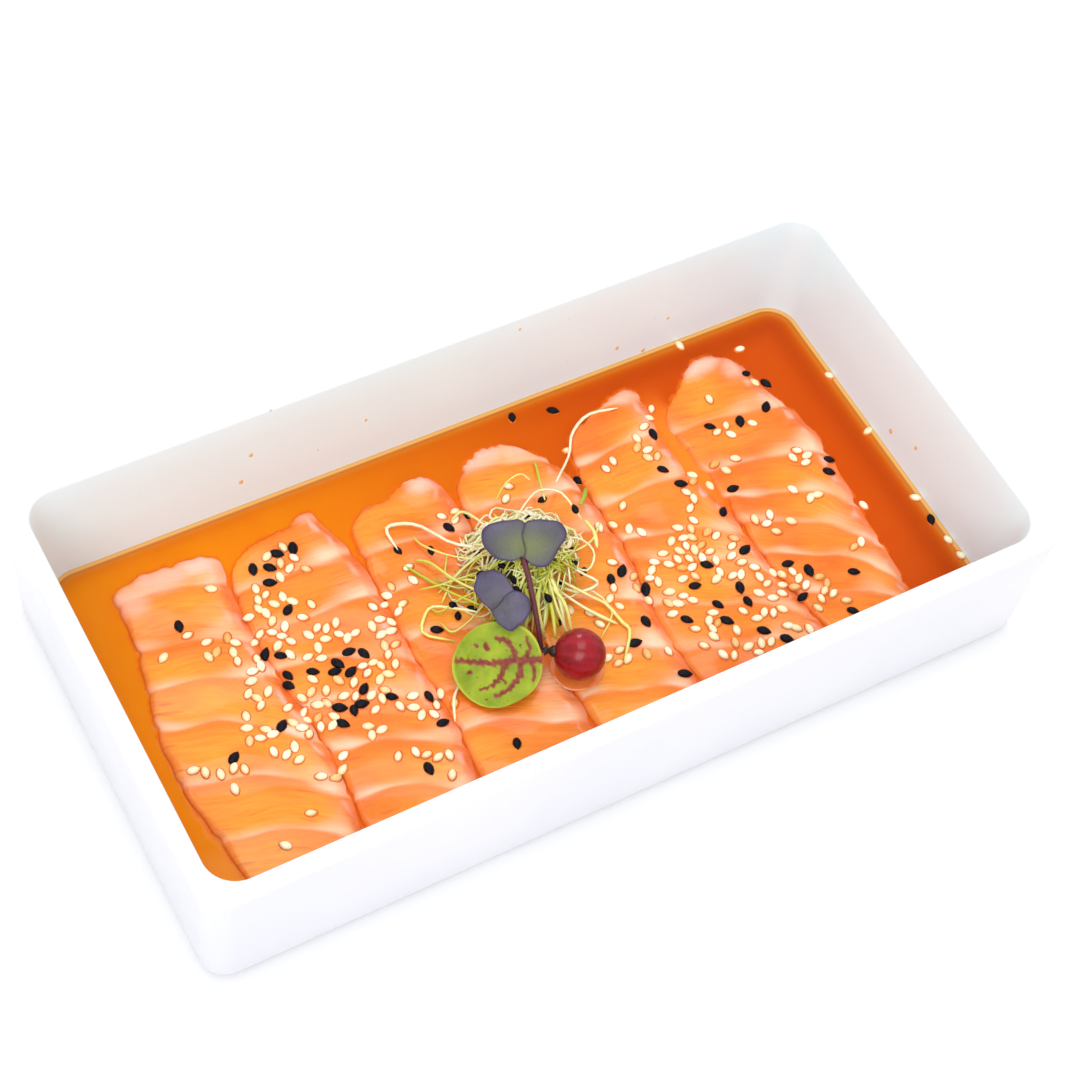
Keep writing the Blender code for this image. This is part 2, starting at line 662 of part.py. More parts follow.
def cress_outline(half_width, half_height):
    """Two joined round lobes: wide to the sides, with a notch above and one below."""
    turn = (np.arange(CRESS_POINTS) + 0.5) * 2 * math.pi / CRESS_POINTS
    waist = half_height * CRESS_WAIST
    radius = waist + (half_width - waist) * np.abs(np.cos(turn)) ** 1.3
    radius *= 1 + 0.10 * np.abs(np.sin(2 * turn))
    return np.column_stack([radius * np.cos(turn), radius * np.sin(turn)])


def make_cress(name, place, size, pose, ground_tree, material, collection):
    """A two-lobed seed leaf, bent along its middle."""
    half_width, half_height = size

    def wave(x, y):
        fold = CRESS_FOLD * (np.abs(x) / half_width) ** 1.5
        return fold + CRESS_WAVE * np.sin(2.2 * x / half_width + 1.0) * (y / half_height)

    outline = cress_outline(half_width, half_height)
    points, faces = leaf_body(outline, (0.45, 1.0), wave, LEAF_THICKNESS)
    points = laid(points, place, pose, ground_tree)
    return make_object(name, points, faces, material, collection)


def add_cress_stem(leaf, ground_tree, holder):
    """The large leaf's stem, from under its middle down the front of the heap."""
    controls = np.array(CRESS_LARGE_STEM) * MM
    under = tree_of([leaf]).ray_cast(Vector((controls[0][0], controls[0][1], 0.0)),
                                     Vector((0, 0, 1)))[0]
    controls[0][2] = under.z + 0.3 * MM
    route = bezier(controls, 8)
    route[2:] = lifted(route[2:], ground_tree, CRESS_STEM_RADIUS + 1.5 * GAP)
    join_pieces(leaf, [make_tube("stem", route, CRESS_STEM_RADIUS, holder, 1)])


def make_berry(food_tree, material, collection, holder):
    """A round berry resting on the fish, a dried flower end joined to its side."""
    x, y = BERRY_PLACE
    rest = height_on(food_tree, x, y, 1.2 * MM) + GAP
    shape = bmesh.new()
    bmesh.ops.create_uvsphere(shape, u_segments=16, v_segments=10, radius=BERRY_RADIUS)
    mesh = bpy.data.meshes.new("berry")
    shape.to_mesh(mesh)
    shape.free()
    mesh.transform(Matrix.Translation((x, y, rest + BERRY_RADIUS)))
    berry = bpy.data.objects.new("berry", mesh)
    mesh.materials.append(material)
    collection.objects.link(berry)
    out = np.array([math.cos(CALYX_TURN), math.sin(CALYX_TURN), 0.12])
    centre = np.array([x, y, rest + BERRY_RADIUS])
    route = [centre + out * (BERRY_RADIUS - 1.0 * MM), centre + out * (BERRY_RADIUS + CALYX_LENGTH)]
    calyx = make_tube("calyx", np.array(route), CALYX_RADIUS, holder, 1)
    join_pieces(berry, [calyx])
    return berry


def main():
    for thing in list(bpy.data.objects):
        bpy.data.objects.remove(thing)
    parts = bpy.data.collections.new("salmon_carpaccio")
    cutters = bpy.data.collections.new("cutters")
    scratch = bpy.data.collections.new("loose_pieces")
    for collection in (parts, cutters, scratch):
        bpy.context.scene.collection.children.link(collection)

    white = make_material("tray_white", srgb(243, 242, 247), 0.32)
    amber = make_material("sauce_amber", srgb(214, 104, 22), 0.08)
    salmon = make_material("salmon_flesh", srgb(250, 150, 78), 0.22)
    sprout_green = make_material("sprout_green", srgb(214, 214, 130), 0.5)
    sorrel_green = make_material("sorrel_green", srgb(160, 186, 44), 0.4)
    cress_purple = make_material("cress_purple", srgb(96, 84, 112), 0.5)
    berry_red = make_material("berry_red", srgb(150, 22, 38), 0.15)

    make_tray(white, parts)
    slices = [make_slice(name, WAVE_SHIFT * index, salmon, parts)
              for index, name in enumerate(SLICES)]
    sauce = make_sauce(amber, [make_cutter(name, cutters) for name in SLICES], parts)
    food = tree_of(slices)

    core = make_heap_core(food, sprout_green, parts)
    berry = make_berry(food, berry_red, parts, scratch)
    sorrel = make_sorrel(tree_of([*slices, core]), sorrel_green, parts)
    cress_small = make_cress("cress_small", CRESS_SMALL_PLACE, CRESS_SMALL_SIZE, CRESS_SMALL_POSE,
                             tree_of([*slices, core, sorrel]), cress_purple, parts)
    cress_large = make_cress("cress_large", CRESS_LARGE_PLACE, CRESS_LARGE_SIZE, CRESS_LARGE_POSE,
                             tree_of([*slices, core, sorrel, cress_small]), cress_purple, parts)
    add_cress_stem(cress_large, tree_of([*slices, core]), scratch)
    toppings = [berry, sorrel, cress_large, cress_small]
    join_pieces(core, make_stems(food, tree_of(toppings), scratch))

    garnish = tree_of([core, *toppings])
    for name, seeds in strew_seeds(slices, garnish, scratch).items():
        join_pieces(bpy.data.objects[name], seeds)
    afloat = [make_seed((x * MM, y * MM, SAUCE_LEVEL), (0, 0, 1), math.radians(turn), scratch)
              for x, y, turn in FLOATING_SEEDS]
    join_pieces(sauce, afloat)
    bpy.data.collections.remove(scratch)

    for thing in parts.objects:
        thing.data.shade_smooth()
        thing.data.set_sharp_from_angle(angle=math.radians(35))


main()
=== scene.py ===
# Salmon carpaccio in its serving tray: the finished surfaces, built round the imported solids.
# Metres, +Z up, X along the tray, +Y towards its back wall, origin on the ground.
import math

import bpy
import numpy as np
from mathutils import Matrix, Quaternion, Vector
from mathutils.bvhtree import BVHTree


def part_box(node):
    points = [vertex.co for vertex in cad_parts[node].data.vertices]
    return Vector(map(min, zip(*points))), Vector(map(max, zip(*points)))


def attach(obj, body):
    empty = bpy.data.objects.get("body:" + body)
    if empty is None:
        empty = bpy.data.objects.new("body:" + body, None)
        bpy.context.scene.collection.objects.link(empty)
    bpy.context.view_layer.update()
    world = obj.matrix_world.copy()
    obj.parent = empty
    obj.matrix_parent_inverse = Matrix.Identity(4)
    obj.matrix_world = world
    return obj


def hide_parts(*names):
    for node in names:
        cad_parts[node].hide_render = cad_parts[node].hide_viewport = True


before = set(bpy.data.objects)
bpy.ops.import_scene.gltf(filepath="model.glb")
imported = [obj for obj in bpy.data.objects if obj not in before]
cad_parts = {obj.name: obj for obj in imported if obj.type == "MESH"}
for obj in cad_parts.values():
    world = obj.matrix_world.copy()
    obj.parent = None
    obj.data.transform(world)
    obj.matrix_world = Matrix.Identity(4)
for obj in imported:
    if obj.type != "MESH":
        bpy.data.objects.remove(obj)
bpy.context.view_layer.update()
MM = 0.001

# Camera: the photograph looks down on the tray from its front left corner, a little tipped.
# A place in the photograph, in its 1080 pixels, is carried back along its ray of sight to the
# surface that the thing there lies on.
CAMERA_PLACE = Vector((-0.16587, -0.21377, 0.43105))
CAMERA_AIM = Vector((0.00786, 0.00956, 0.008))
CAMERA_ROLL = math.radians(10.92)
CAMERA_LENS = 82.01
SENSOR = 36.0
PHOTO_SIZE = 1080


def add_object(name, data):
    """A new object of the scene that shows some data."""
    made = bpy.data.objects.new(name, data)
    bpy.context.scene.collection.objects.link(made)
    return made


camera_data = bpy.data.cameras.new("camera")
camera_data.lens = CAMERA_LENS
camera_data.sensor_width = SENSOR
camera_data.clip_start = 0.01
camera = add_object("camera", camera_data)
camera.location = CAMERA_PLACE
camera.rotation_mode = "QUATERNION"
camera.rotation_quaternion = (CAMERA_AIM - CAMERA_PLACE).to_track_quat("-Z", "Y") @ Quaternion(
    (0, 0, 1), CAMERA_ROLL)
bpy.context.scene.camera = camera


def sight(u, v):
    """Direction in which the camera sees a pixel of the photograph."""
    scale = SENSOR / CAMERA_LENS / PHOTO_SIZE
    ray = Vector(((u - PHOTO_SIZE / 2) * scale, (PHOTO_SIZE / 2 - v) * scale, -1.0))
    return (camera.rotation_quaternion @ ray).normalized()


# Stage: a plain white floor in an even white surround, with one wide soft lamp overhead, one in
# front for the outer walls, and a small one behind for the wet glints on the fish.
FLOOR_HALF = 3.0
SURROUND_STRENGTH = 0.85
# Each lamp: direction from the tray, distance and side in metres, watts
LAMPS = {
    "top_lamp": ((0.05, 0.12, 1.0), 1.4, 0.8, 6.0),
    "glint_lamp": ((0.33, 0.77, 0.58), 1.1, 0.22, 1.3),
    "front_lamp": ((-0.5, -0.6, 0.9), 1.6, 1.0, 11.0),
}

world = bpy.data.worlds.new("surround")
world.use_nodes = True
surround = world.node_tree.nodes["Background"].inputs
surround["Color"].default_value = (1.0, 1.0, 1.0, 1.0)
surround["Strength"].default_value = SURROUND_STRENGTH
bpy.context.scene.world = world
bpy.context.scene.view_settings.view_transform = "Standard"
bpy.context.scene.view_settings.look = "None"

for lamp_name, (toward, distance, side, watts) in LAMPS.items():
    lamp_data = bpy.data.lights.new(lamp_name, "AREA")
    lamp_data.size = side
    lamp_data.energy = watts
    lamp = add_object(lamp_name, lamp_data)
    lamp.location = Vector(toward).normalized() * distance
    lamp.rotation_mode = "QUATERNION"
    lamp.rotation_quaternion = Vector(toward).to_track_quat("Z", "Y")


def srgb(red, green, blue):
    """Colour from 0-255 screen values to the linear values a material takes."""
    values = np.array([red, green, blue]) / 255.0
    linear = np.where(values <= 0.04045, values / 12.92, ((values + 0.055) / 1.055) ** 2.4)
    return (*linear.tolist(), 1.0)


class Paint:
    """A material in the making: one shader, and the colour laid on it so far.

    Constant values are set on the shader's own sockets. Colours are 0-255 screen values. A
    share, from 0 to 1, is a node's output, the name of a value that the mesh holds at its
    points, or the patch size in metres of a mottle, which may have its detail and contrast.
    """

    def __init__(self, name, roughness, **values):
        self.material = bpy.data.materials.new(name)
        self.material.use_nodes = True
        self.join = self.material.node_tree.links.new
        self.shader = self.material.node_tree.nodes["Principled BSDF"]
        self.shader.inputs["Roughness"].default_value = roughness
        for socket, value in values.items():
            self.shader.inputs[socket.replace("_", " ")].default_value = value
        self.where = self.node("TexCoord", "Object", {})

    def node(self, kind, output, inputs, **settings):
        """An output of a new shader node; its inputs are values or other nodes' outputs."""
        made = self.material.node_tree.nodes.new("ShaderNode" + kind)
        for name, value in settings.items():
            setattr(made, name, value)
        for name, value in inputs.items():
            if isinstance(value, bpy.types.NodeSocket):
                self.join(value, made.inputs[name])
            else:
                made.inputs[name].default_value = value
        return made.outputs[output]

    def cloud(self, size, detail=3.0, contrast=(0.3, 0.7), where=None):
        """A soft mottle with patches of about one size in metres."""
        noise = self.node("TexNoise", "Fac", {
            "Vector": self.where if where is None else where, "Scale": 1.0 / size, "Detail": detail})
        return self.node("MapRange", "Result", {
            "Value": noise, "From Min": contrast[0], "From Max": contrast[1]})

    def share(self, given):
        """The output that gives a share."""
        if isinstance(given, str):
            return self.node("Attribute", "Fac", {}, attribute_name=given)
        if isinstance(given, float):
            return self.cloud(given)
        return self.cloud(*given) if isinstance(given, tuple) else given

    def reckon(self, operation, first, second):
        """One arithmetic step on a share and a value."""
        return self.node("Math", 0, {0: self.share(first), 1: second}, operation=operation)

    def mix(self, share, low, high):
        """Colour part way from one to another."""
        low, high = (srgb(*tone) if isinstance(tone, tuple) else tone for tone in (low, high))
        return self.node("Mix", 2, {0: self.share(share), 6: low, 7: high}, data_type="RGBA")

    def base(self, share, low, high):
        """Sets the first colour."""
        self.colour = self.mix(share, low, high)
        return self

    def lay(self, *layers):
        """Lays colours over the one so far, each by its share and its weight if it has one."""
        for share, tone, *weight in layers:
            if weight:
                share = self.reckon("MULTIPLY", share, weight[0])
            self.colour = self.mix(share, self.colour, tone)
        return self

    def finish(self, relief=None, depth=0.0):
        """Joins the colour to the shader, and a share as relief of some depth in metres."""
        self.join(self.colour, self.shader.inputs["Base Color"])
        if relief is not None:
            bump = self.node("Bump", "Normal", {
                "Height": self.share(relief), "Distance": depth, "Strength": 1.0})
            self.join(bump, self.shader.inputs["Normal"])
        return self.material


def joined(*bodies):
    """The points and faces of several bodies as those of one."""
    starts = np.cumsum([0] + [len(body[0]) for body in bodies]).tolist()
    faces = [[corner + start for corner in face]
             for start, body in zip(starts, bodies) for face in body[1]]
    return np.concatenate([body[0] for body in bodies]), faces


def mesh_object(name, material, *bodies):
    """One smooth mesh of bodies: each its points, faces and values at its points, 0 if unnamed."""
    points, faces = joined(*bodies)
    mesh = bpy.data.meshes.new(name)
    mesh.from_pydata(points.tolist(), [], faces)
    for key in {key: None for body in bodies for key in body[2]}:
        values = [np.broadcast_to(body[2].get(key, 0.0), len(body[0])) for body in bodies]
        layer = mesh.attributes.new(key, "FLOAT", "POINT")
        layer.data.foreach_set("value", np.concatenate(values).astype(np.float32))
    mesh.materials.append(material)
    mesh.shade_smooth()
    return add_object(name, mesh)


floor_paint = Paint("floor_white", 0.9).base(0.4, (232, 233, 235), (235, 236, 237))
floor_corners = FLOOR_HALF * np.array([(-1, -1, 0), (1, -1, 0), (1, 1, 0), (-1, 1, 0)])
floor = mesh_object("floor", floor_paint.finish(), (floor_corners, [(0, 1, 2, 3)], {}))

# Tray: one pressed shell of satin white melamine, its walls leaning out a little, with a
# rounded foot and rim and round corners. It stands loose on its flat base.
tray_low, tray_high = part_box("tray")
TRAY_HEIGHT = tray_high.z
RIM_SIZE = (tray_high.x - tray_low.x, tray_high.y - tray_low.y)
OUTER_LEAN = 1.35 * MM
RIM_WALL = 3.85 * MM
INNER_LEAN = 2.3 * MM
FLOOR_THICKNESS = 3.0 * MM
OUTER_CORNER = 5.4 * MM
INNER_CORNER = 6.5 * MM
FLOOR_FILLET = 2.2 * MM
FOOT_ROUND = 2.4 * MM
RIM_ROUND = 0.9 * MM
CORNER_STEPS = 14
FOOT_STEPS = 8
BEND_STEPS = 6
WALL_SHARES = (0.25, 0.5, 0.75)


def rounded_ring(size, corner, height):
    """A rectangle whose corners are quarter circles, as one level ring, counter-clockwise."""
    turn = np.linspace(0.0, math.pi / 2, CORNER_STEPS + 1) + np.arange(4)[:, None] * math.pi / 2
    side_x = np.array([1, -1, -1, 1])[:, None]
    side_y = np.array([1, 1, -1, -1])[:, None]
    x = side_x * (size[0] / 2 - corner) + corner * np.cos(turn)
    y = side_y * (size[1] / 2 - corner) + corner * np.sin(turn)
    return np.stack([x, y, np.full_like(x, height)], axis=-1).reshape(-1, 3)


def outer_size(height):
    """Length and width of the outer walls at a height."""
    lean = OUTER_LEAN * (TRAY_HEIGHT - height) / TRAY_HEIGHT
    return [side - 2 * lean for side in RIM_SIZE]


def inner_size(height):
    """Length and width between the inner walls at a height."""
    lean = INNER_LEAN * (TRAY_HEIGHT - height) / (TRAY_HEIGHT - FLOOR_THICKNESS)
    return [side - 2 * (RIM_WALL + lean) for side in RIM_SIZE]


def quarter(size, steps):
    """A quarter circle in steps: how far it has run up to its size, and has left to run."""
    return [(size * (1 - math.cos(bend)), size * (1 - math.sin(bend)))
            for bend in np.linspace(0.0, math.pi / 2, steps)]


def quads_of(rows, columns, wrap=False):
    """Corner numbers of the quads of a grid of points; wrap joins the last column to the first."""
    number = np.arange(rows * columns).reshape(rows, columns)
    if wrap:
        number = np.concatenate([number, number[:, :1]], axis=1)
    return np.stack([number[:-1, :-1], number[:-1, 1:], number[1:, 1:], number[1:, :-1]],
                    axis=-1).reshape(-1, 4)


def make_piece(name, material, slot, nodes, *bodies):
    """A mesh on the part's body, which hides the nodes that it stands for; its colour slot is not used.
    """
    piece = mesh_object(name, material, *bodies)
    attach(piece, "root")
    if nodes:
        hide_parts(*nodes)
    return piece


# Rings from the foot up the outside, and from the rim down the inside: level, draw-in, corner
outer_wall = TRAY_HEIGHT - RIM_ROUND - FOOT_ROUND
inner_wall = TRAY_HEIGHT - FLOOR_THICKNESS - FLOOR_FILLET
outside = [(rise, inset, OUTER_CORNER - inset / 2) for rise, inset in quarter(FOOT_ROUND, FOOT_STEPS)]
outside += [(FOOT_ROUND + share * outer_wall, 0.0, OUTER_CORNER) for share in WALL_SHARES]
outside += [(TRAY_HEIGHT - drop, inset, OUTER_CORNER) for inset, drop in quarter(RIM_ROUND, BEND_STEPS)]
within = [(TRAY_HEIGHT - drop, -inset, INNER_CORNER) for drop, inset in quarter(RIM_ROUND, BEND_STEPS)]
within += [(TRAY_HEIGHT - share * inner_wall, 0.0, INNER_CORNER) for share in WALL_SHARES]
within += [(FLOOR_THICKNESS + rise, inset, INNER_CORNER)
           for inset, rise in quarter(FLOOR_FILLET, BEND_STEPS)]
rings = [rounded_ring([side - 2 * inset for side in size_at(level)], corner, level)
         for size_at, run in ((outer_size, outside), (inner_size, within))
         for level, inset, corner in run]
ring_count = len(rings[0])
tray_points = np.concatenate(rings)
tray_faces = [*quads_of(len(rings), ring_count, wrap=True).tolist(), range(ring_count)[::-1],
              range(len(tray_points))[-ring_count:]]
inside = np.repeat(np.arange(len(rings)) > len(outside), ring_count)

tray_paint = Paint("tray_melamine", 0.32, Specular_IOR_Level=0.4, Coat_Weight=0.15,
                   Coat_Roughness=0.25)
tray_paint.base(0.03, (224, 224, 231), (229, 228, 234))
# The inside is painted a cooler, lighter white: painted light against the orange bounce and shade within
# the tray.
tray_paint.lay(("inside", (229, 245, 251)), ((0.0013, 1.0, (0.80, 0.84)), (206, 196, 186)))
tray_gloss = tray_paint.node("MapRange", "Result", {
    "Value": tray_paint.cloud(0.012), "To Min": 0.28, "To Max": 0.38})
tray_paint.join(tray_gloss, tray_paint.shader.inputs["Roughness"])
tray_shell = make_piece("tray_shell", tray_paint.finish((0.0006, 2.0), 0.000004), "tray", ("tray",),
                        (tray_points, tray_faces, {"inside": inside}))

# Salmon: six thin slices of raw fillet, cut across the grain and laid side by side, each with
# pale lines of fat across it, their paleness partly painted sheen, a rounded lip on its left
# and a feathered edge under the sauce on its right. They lie loose on the tray's floor.
FISH_BASE = FLOOR_THICKNESS + 0.3 * MM
FISH_TOP = 8.4 * MM
LEFT_EDGE_TOP = 7.2 * MM
LEFT_REACH = 1.3 * MM
RIGHT_EDGE_TOP = 7.5 * MM
RIGHT_REACH = 2.6 * MM
# How far the long edges stand out, and how deep and wide they are notched, in millimetres
SPREAD = 0.5
NOTCH = 0.55
NOTCH_REACH = 1.1
END_DROP = 1.6 * MM
# Height under which a slice's low edges get painted seam shade, and how fast it fades
SEAM_SHADE_LEVEL = 7.2 * MM
SEAM_SHADE_FADE = 0.45 * MM
FRONT_REACH = 6.0 * MM
BACK_REACH = 2.6 * MM
CORNER_ROUNDING = 0.12
WAVE_HEIGHT = 0.24 * MM
WAVE_LENGTH = 19.0 * MM
WAVE_SLANT = 0.35
WAVE_SHIFT = 1.7
ACROSS_STEPS = 90
ALONG_STEPS = 260
ACROSS_CROWDING = 0.35
ALONG_CROWDING = 0.3
# The sauced left flank of a slice is wider at its front: gain, where it starts, and its run
WIDE_FLANKS = {"slice_5": 3.4}
FLANK_FROM = -9.0 * MM
FLANK_RUN = 10.0 * MM
DEEP_REACH = 2.8 * MM
BAND_EDGE = 1.6 * MM
# Places along a slice, in millimetres, and across it, that its edges are given at
EDGE_STATIONS = (-38.0, -26.0, -13.0, 0.0, 13.0, 25.0, 34.0)
END_STATIONS = (0.0, 0.25, 0.5, 0.75, 1.0)
# Left edge, right edge, front end and back end of each slice, in millimetres
SLICES = {
    "slice_1": ((-78.5, -79.5, -81.3, -81, -78.5, -76.5, -77),
                (-55.6, -53.8, -53.5, -54.6, -55.4, -55, -53.6),
                (-37, -38.4, -38.8, -38, -36.8), (35, 36.2, 36.4, 36, 34.8)),
    "slice_2": ((-54.4, -53, -52.8, -54, -54.8, -54.2, -52.4),
                (-30.4, -28.6, -28.3, -28.6, -28.2, -29.2, -31.8),
                (-37.4, -38.6, -38.8, -38.2, -37), (30.4, 33.2, 34.2, 35.2, 37.4)),
    "slice_3": ((-29.7, -27.9, -27.6, -27.9, -27.3, -26.8, -26.2),
                (-3.6, -3.5, -3.9, -4.1, -3.9, -4, -4.6),
                (-36.8, -38.4, -39, -38.4, -37.4), (29.8, 32.6, 32.8, 34.4, 33.8)),
    "slice_4": ((-2.9, -2.8, -3.2, -3.4, -3.1, -2.5, -1.5),
                (20.8, 20.3, 20.8, 22.6, 22.4, 20.2, 16.5),
                (-37.6, -38.8, -39.2, -38.4, -37.2), (29.4, 33.6, 35.4, 34.6, 30.2)),
    "slice_5": ((21.6, 21, 21.6, 23.4, 23.1, 24.4, 27),
                (51.6, 49.8, 48.2, 47.6, 44.9, 44.6, 45.6),
                (-37.2, -38.6, -39, -38.6, -37.6), (31, 32.8, 34.4, 36.2, 36.6)),
    "slice_6": ((52.3, 50.5, 48.9, 49, 48.2, 47.2, 51),
                (72.3, 72.9, 73.5, 74.8, 75, 71.5, 70.3),
                (-37.4, -38.4, -38.8, -38, -36.6), (27.6, 32.6, 36.8, 36.4, 33.6)),
}
# Each fat line, from the back: y at the slice's left edge and how far it falls by the right
# edge, in millimetres
FAT_LINES = {
    "slice_1": ((31.5, 3.5), (20, 7), (10.5, 6.5), (2.6, 15.5), (-10.5, 15.5), (-24.5, 12)),
    "slice_2": ((24, 0.5), (13, 0.5), (4.6, 9.5), (-5, 10), (-16, 10), (-27, 9)),
    "slice_3": ((36, 3.5), (21.5, 4), (11, 5), (0, 9), (-13.5, 12.5), (-23, 9.5)),
    "slice_4": ((31.5, 5), (22, 5), (12, 6), (-4, 8), (-16, 9), (-27, 9)),
    "slice_5": ((33.5, 0.5), (22.8, -0.5), (11.3, -0.5), (2.3, 9), (-3.6, 14), (-14.6, 16),
                (-27, 11)),
    "slice_6": ((21.5, 3.5), (9.6, 5.5), (1.8, 12), (-4.8, 16.5), (-13.4, 18.5), (-25, 13)),
}
# How yellow the flesh of each slice is
GOLD = (0.95, 0.5, 0.42, 1.1, 0.62, 0.36)
# Pale raised flakes and lips at the back ends: x, y, reach along x and y, and rise, in
# millimetres, and how pale
FLAKES = {
    "slice_1": ((-58, 34, 5, 3.2, 0.7, 1), (-66, 33.5, 8, 3.4, 0.3, 0.8), (-74, 31, 4, 4, 0.2, 0.6)),
    "slice_2": ((-33.5, 35.5, 3, 2.6, 0.5, 0.5),),
    "slice_3": ((-8, 32, 3.6, 2.4, 0.6, 0.9),),
    "slice_4": ((5, 33.5, 8, 3.2, 0.5, 0.9), (14, 32, 4, 3, 0.4, 0.7)),
    "slice_5": ((42.5, 34.5, 3.4, 2.8, 0.5, 0.6),),
    "slice_6": ((61, 34.5, 5.5, 2.6, 0.9, 1), (68, 31, 3, 3, 0.4, 0.6)),
}


def kept_in(value):
    """A value kept between 0 and 1."""
    return np.clip(value, 0.0, 1.0)


def smooth_step(value):
    """From 0 to 1 along an S, level at both ends."""
    value = kept_in(value)
    return value * value * (3.0 - 2.0 * value)


def rounded(value):
    """Quarter circle: steep at 0, level from 1 on."""
    return np.sqrt(1 - (1 - kept_in(value)) ** 2)


def through(stations, values, at):
    """A smooth curve through given values: cubic pieces that share their slopes."""
    stations = np.asarray(stations, dtype=float)
    values = np.asarray(values, dtype=float)
    slopes = np.gradient(values, stations)
    at = np.clip(at, stations[0], stations[-1])
    piece = np.clip(np.searchsorted(stations, at) - 1, 0, len(stations) - 2)
    step = stations[piece + 1] - stations[piece]
    t = (at - stations[piece]) / step
    return ((2 * t ** 3 - 3 * t ** 2 + 1) * values[piece]
            + (t ** 3 - 2 * t ** 2 + t) * slopes[piece] * step
            + (3 * t ** 2 - 2 * t ** 3) * values[piece + 1]
            + (t ** 3 - t ** 2) * slopes[piece + 1] * step)


def ripple(x, y, length, seed):
    """An uneven swell of about -1 to 1: six sine waves of near lengths, each its own way."""
    draw = np.random.default_rng(seed)
    total = np.zeros_like(x)
    for _ in range(6):
        way = draw.uniform(0, 2 * math.pi)
        wave = length * draw.uniform(0.7, 1.4)
        total += np.sin(2 * math.pi * (x * math.cos(way) + y * math.sin(way)) / wave
                        + draw.uniform(0, 2 * math.pi))
    return total / 2.6


def crowded(steps, amount):
    """Places from 0 to 1 that crowd towards both ends by some amount."""
    share = np.linspace(0.0, 1.0, steps)
    return amount * (0.5 - 0.5 * np.cos(math.pi * share)) + (1 - amount) * share


